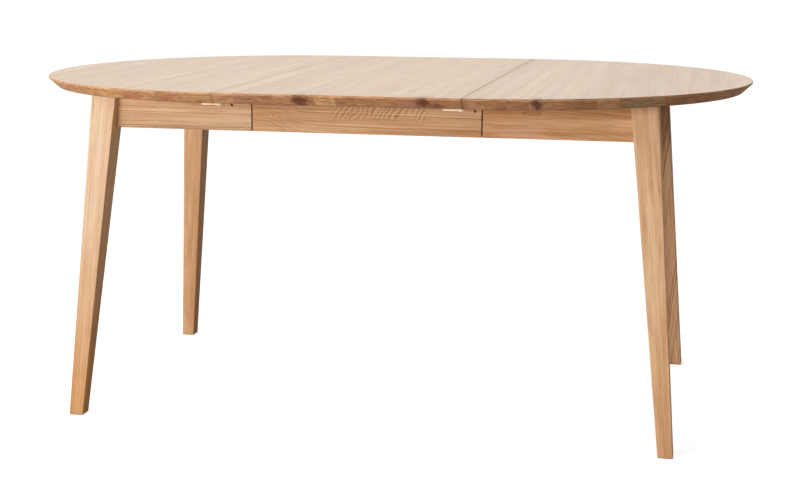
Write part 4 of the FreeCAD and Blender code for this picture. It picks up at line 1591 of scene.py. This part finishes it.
@dataclass(frozen=True)
class Fasteners:
    """Wood screws, hanger bolts with their nuts and washers, and the runners' stop pins."""

    screw_head: float = 0.0040
    screw_shank: float = 0.0020
    screw_core: float = 0.00135
    screw_reach: float = 0.028
    screw_pitch: float = 0.0018
    screw_rim_tall: float = 0.00025
    screw_head_tall: float = 0.0024
    screw_tip: float = 0.004
    screw_sides: int = 20
    neck_share: float = 0.36
    worn_share: float = 0.93
    bolt: float = 0.004
    bolt_core: float = 0.0034
    bolt_reach: float = 0.086
    bolt_tail: float = 0.034
    bolt_pitch: float = 0.00125
    bolt_plain: float = 0.008
    bolt_tip: float = 0.006
    bolt_end_share: float = 0.8
    bolt_end_tall: float = 0.0008
    bolt_thread_start: float = 0.0012
    lag_core: float = 0.00289
    lag_pitch: float = 0.0035
    nut_flats: float = 0.013
    nut_tall: float = 0.0065
    nut_bore: float = 0.00405
    shoulder: float = 0.001

    def build(self) -> None:
        """Puts detailed screws, bolts and nuts in place and dresses what stays plain."""
        for item in list(bpy.data.objects):
            if item.name.endswith("_screws"):
                mount_turned(item.name, self.wood_screw(), ZINC)
            elif item.name.endswith("_leg_bolts"):
                mount_turned(item.name, self.hanger_bolt(), ZINC)
            elif item.name.endswith("_leg_nuts"):
                self.nuts(item.name)
            elif item.name.endswith(("_washers", "_stops")):
                dress(item.name, ZINC)

    def nuts(self, node: str) -> None:
        """Puts a nut at each of a node's solids, with its flats where the solid has them.

        Args:
            node: Name of the node.
        """
        lathe = Lathe()
        for part in islands(bpy.data.objects[node]):
            frame = outer_end(part)
            local = frame.inverted()
            far = max((local @ vert.co for vert in part.verts), key=lambda corner: corner.xy.length)
            turned = Matrix.Rotation(math.atan2(far.y, far.x) - math.pi / 6, 4, "Z")
            lathe.hexagon(self.nut_flats, self.nut_bore, self.nut_tall, frame @ turned)
        mount(lathe.finish(node + "_detail", ZINC), node, ZINC.name)

    def wood_screw(self) -> Turning:
        """Draws a countersunk screw with a cross recess and a coarse thread.

        Returns:
            The screw.
        """
        head, shank, core, reach = self.screw_head, self.screw_shank, self.screw_core, self.screw_reach
        neck = reach * self.neck_share
        start, stop = neck + self.shoulder, reach - self.screw_tip
        return Turning(
            ((head * self.worn_share, 0.0), (head, self.screw_rim_tall), (shank, self.screw_head_tall),
             (shank * self.worn_share, neck), (core, start), (core, stop), (0.0, reach)),
            Drive.CROSS, sides=self.screw_sides,
            threads=(Thread(start, stop + self.shoulder, self.screw_pitch, core, shank),))

    def hanger_bolt(self) -> Turning:
        """Draws a headless bolt with a fine thread for the nut and a coarse one in the leg.

        Returns:
            The bolt.
        """
        bolt, tail, reach = self.bolt, self.bolt_tail, self.bolt_reach
        plain_stop = tail + self.bolt_plain
        lag_start, lag_stop = plain_stop + self.shoulder, reach - self.bolt_tip
        return Turning(
            ((bolt * self.bolt_end_share, 0.0), (self.bolt_core, self.bolt_end_tall),
             (self.bolt_core, tail), (bolt, tail + self.shoulder), (bolt, plain_stop),
             (self.lag_core, lag_start), (self.lag_core, lag_stop), (0.0, reach)),
            threads=(Thread(self.bolt_thread_start, tail, self.bolt_pitch, self.bolt_core, bolt),
                     Thread(lag_start + self.shoulder, lag_stop + self.shoulder, self.lag_pitch,
                            self.lag_core, bolt)))


@dataclass(frozen=True)
class Catches:
    """The swinging brass levers under the seams, the screws that they turn on and their keeper pins."""

    lever_radius: float = 0.006
    lever_reach: float = 0.037
    lever_thick: float = 0.004
    lever_bore: float = 0.00308
    notch_place: float = 0.028
    notch_radius: float = 0.0032
    soft: float = 0.0006
    pivot_sides: int = 32

    def build(self) -> None:
        """Builds the levers, their pivots and the keeper pins."""
        for side, end in product(Side, End):
            self.lever(quarter(side, end) + "_catch")
        for panel in ("left", "leaf"):
            mount_turned(panel + "_catch_pivots", self.pivot(), BRASS)
        for panel in ("leaf", "right"):
            mount_turned(panel + "_catch_pins", self.keeper(), BROWNED)

    def lever(self, node: str) -> None:
        """Builds one lever, which points to the left from its pivot when open.

        Args:
            node: Name of the node that it stands for.
        """
        low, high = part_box(node)
        middle = (low.y + high.y) / 2
        place = Matrix.Translation((high.x - self.lever_radius, middle, low.z))
        outline = self.lever_outline()
        if middle < 0:
            outline = [(x, -y) for x, y in reversed(outline)]
        lathe = Lathe()
        lathe.plate(outline, self.lever_bore, self.lever_thick, self.soft, place)
        mount(lathe.finish(node + "_detail", BRASS), node, BRASS.name)

    def lever_outline(self) -> list[Flat]:
        """Draws a rear lever, anticlockwise, with its notch on the -Y side.

        Returns:
            Its corners about the pivot.
        """
        arm = self.lever_reach - self.lever_radius
        tip = self.arc(-arm, self.lever_radius, range(90, 256, 15))
        seat = self.arc(-self.notch_place, self.notch_radius, range(180, -1, -20))
        heel = self.arc(0.0, self.lever_radius, range(-90, 91, 15))
        left, right = -self.notch_place - self.notch_radius, -self.notch_place + self.notch_radius
        hook = (left, -math.sqrt(self.lever_radius ** 2 - (left + arm) ** 2))
        return tip + [hook] + seat + [(right, -self.lever_radius)] + heel

    def arc(self, centre: float, radius: float, degrees: Iterable[int]) -> list[Flat]:
        """Corners of a round part of the outline."""
        return [(centre + radius * math.cos(math.radians(angle)), radius * math.sin(math.radians(angle)))
                for angle in degrees]

    def pivot(self) -> Turning:
        """Draws the shouldered screw, from its head inwards.

        Returns:
            The screw.
        """
        return Turning(
            ((0.0046, 0.0), (0.0052, 0.0002), (0.0055, 0.0006), (0.0055, 0.0013), (0.0030, 0.0014),
             (0.0030, 0.0060), (0.0049, 0.0060), (0.0050, 0.0062), (0.0050, 0.0117), (0.0020, 0.0117),
             (0.00135, 0.0124), (0.00135, 0.0227), (0.0, 0.0257)),
            Drive.SOCKET, drive_size=0.0022, drive_depth=0.0011,
            threads=(Thread(0.0124, 0.0229, 0.0018, 0.00135, 0.0020),), sides=self.pivot_sides)

    def keeper(self) -> Turning:
        """Draws the keeper pin, from its flat head inwards.

        Returns:
            The pin.
        """
        return Turning(
            ((0.0024, 0.0), (0.0027, 0.00015), (0.0029, 0.0005), (0.0029, 0.0021), (0.0022, 0.0022),
             (0.0022, 0.0266), (0.0, 0.0268)),
            Drive.CROSS, drive_size=0.0016, drive_depth=0.0012, sides=self.pivot_sides)


# ---------------------------------------- studio
@dataclass(frozen=True)
class View:
    """The camera, as it stood before the table."""

    place: Triple = (0.7105, -3.2073, 1.0129)
    turned_left: float = 0.2144
    tilted_down: float = 0.2021
    rolled: float = 0.0025
    focal_px: float = 1422.1

    def build(self) -> None:
        """Adds the camera."""
        data = bpy.data.cameras.new("camera")
        data.sensor_width = SENSOR_WIDTH_MM
        data.lens = self.focal_px * SENSOR_WIDTH_MM / IMAGE_WIDTH_PX
        camera = add_object("camera", data)
        turn = Matrix.Rotation(self.turned_left, 4, "Z")
        tilt = Matrix.Rotation(math.pi / 2 - self.tilted_down, 4, "X")
        roll = Matrix.Rotation(self.rolled, 4, "Z")
        camera.matrix_world = Matrix.Translation(self.place) @ turn @ tilt @ roll
        bpy.context.scene.camera = camera


@dataclass(frozen=True)
class SoftLamp:
    """A flat lamp that points at a target."""

    name: str
    place: Triple
    target: Triple
    wide: float
    tall: float
    power: float

    def build(self) -> None:
        """Adds the lamp."""
        data = bpy.data.lights.new(self.name, "AREA")
        data.shape = "RECTANGLE"
        data.size, data.size_y = self.wide, self.tall
        data.energy = self.power
        lamp = add_object(self.name, data)
        lamp.matrix_world = aimed(self.place, Vector(self.target) - Vector(self.place), "-Z")
        lamp.visible_glossy = False


@dataclass(frozen=True)
class Studio:
    """A white floor and surroundings, soft lamps and the camera."""

    ambient: float = 0.47
    dim_right: float = 0.75
    floor_size: float = 40.0
    floor_colour: Colour = Colour("C6C6C6")
    floor_glow: float = 0.78
    white: Colour = Colour("FFFFFF")
    lamps: tuple[SoftLamp, ...] = (
        SoftLamp("front_lamp", (-1.9, -4.2, 1.10), (0.0, 0.0, 0.55), 1.8, 0.5, 98.0),
        SoftLamp("left_lamp", (-2.6, -2.4, 1.6), (-0.2, 0.0, 0.55), 1.5, 1.5, 27.0),
        SoftLamp("ceiling_lamp", (0.0, 0.0, 3.2), (0.0, 0.0, 0.0), 1.5, 1.5, 23.0),
    )
    view: View = View()

    def build(self) -> None:
        """Adds everything round the table."""
        self.surroundings()
        self.floor()
        for lamp in self.lamps:
            lamp.build()
        self.view.build()

    def surroundings(self) -> None:
        """Lights the table softly from everywhere, and shows white behind it."""
        world = bpy.data.worlds.new("surroundings")
        bpy.context.scene.world = world
        graph = Graph(world)
        way = graph.node("ShaderNodeTexCoord").outputs["Generated"]
        ambient = (1.0 - graph.parts(way)[0] * self.dim_right) * self.ambient
        seen = self.seen(graph)
        shader = graph.node("ShaderNodeBackground", Color=self.white,
                            Strength=seen + (1.0 - seen) * ambient)
        graph.node("ShaderNodeOutputWorld", Surface=shader.outputs[0])

    def seen(self, graph: Graph) -> Wire:
        """Tells the camera's rays, straight or reflected, from the light on the table.

        Args:
            graph: The tree that asks.

        Returns:
            1 for the camera's rays and 0 for others.
        """
        path = graph.node("ShaderNodeLightPath")
        direct, glossy, through = (graph.wire(path, f"Is {kind} Ray")
                                   for kind in ("Camera", "Glossy", "Transmission"))
        return graph.math("MAXIMUM", graph.math("MAXIMUM", direct, glossy), through)

    def floor(self) -> None:
        """Adds the floor, which keeps the table's shadow."""
        mesh = bpy.data.meshes.new("floor")
        half = self.floor_size / 2
        corners = [(-half, -half, 0.0), (half, -half, 0.0), (half, half, 0.0), (-half, half, 0.0)]
        mesh.from_pydata(corners, [], [(0, 1, 2, 3)])
        floor = add_object("floor", mesh)
        graph = Graph.of_material("floor_white")
        matt = graph.node("ShaderNodeBsdfDiffuse", Color=self.floor_colour)
        glow = graph.node("ShaderNodeEmission", Color=self.white,
                          Strength=self.seen(graph) * self.floor_glow)
        both = graph.node("ShaderNodeAddShader")
        graph.feed(both.inputs[0], matt.outputs[0])
        graph.feed(both.inputs[1], glow.outputs[0])
        graph.node("ShaderNodeOutputMaterial", Surface=both.outputs[0])
        mesh.materials.append(graph.owner)


def main() -> None:
    """Loads the frame and builds each sub-assembly."""
    logging.basicConfig(level=logging.INFO, format="%(name)s: %(message)s")
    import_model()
    bpy.context.scene.view_settings.view_transform = "Standard"
    for part in (TableTop(), ApronFrame(), Legs(), Runners(), Fasteners(), Catches(), Studio()):
        part.build()
        LOG.info("built %s", type(part).__name__)


if __name__ == "__main__":
    main()
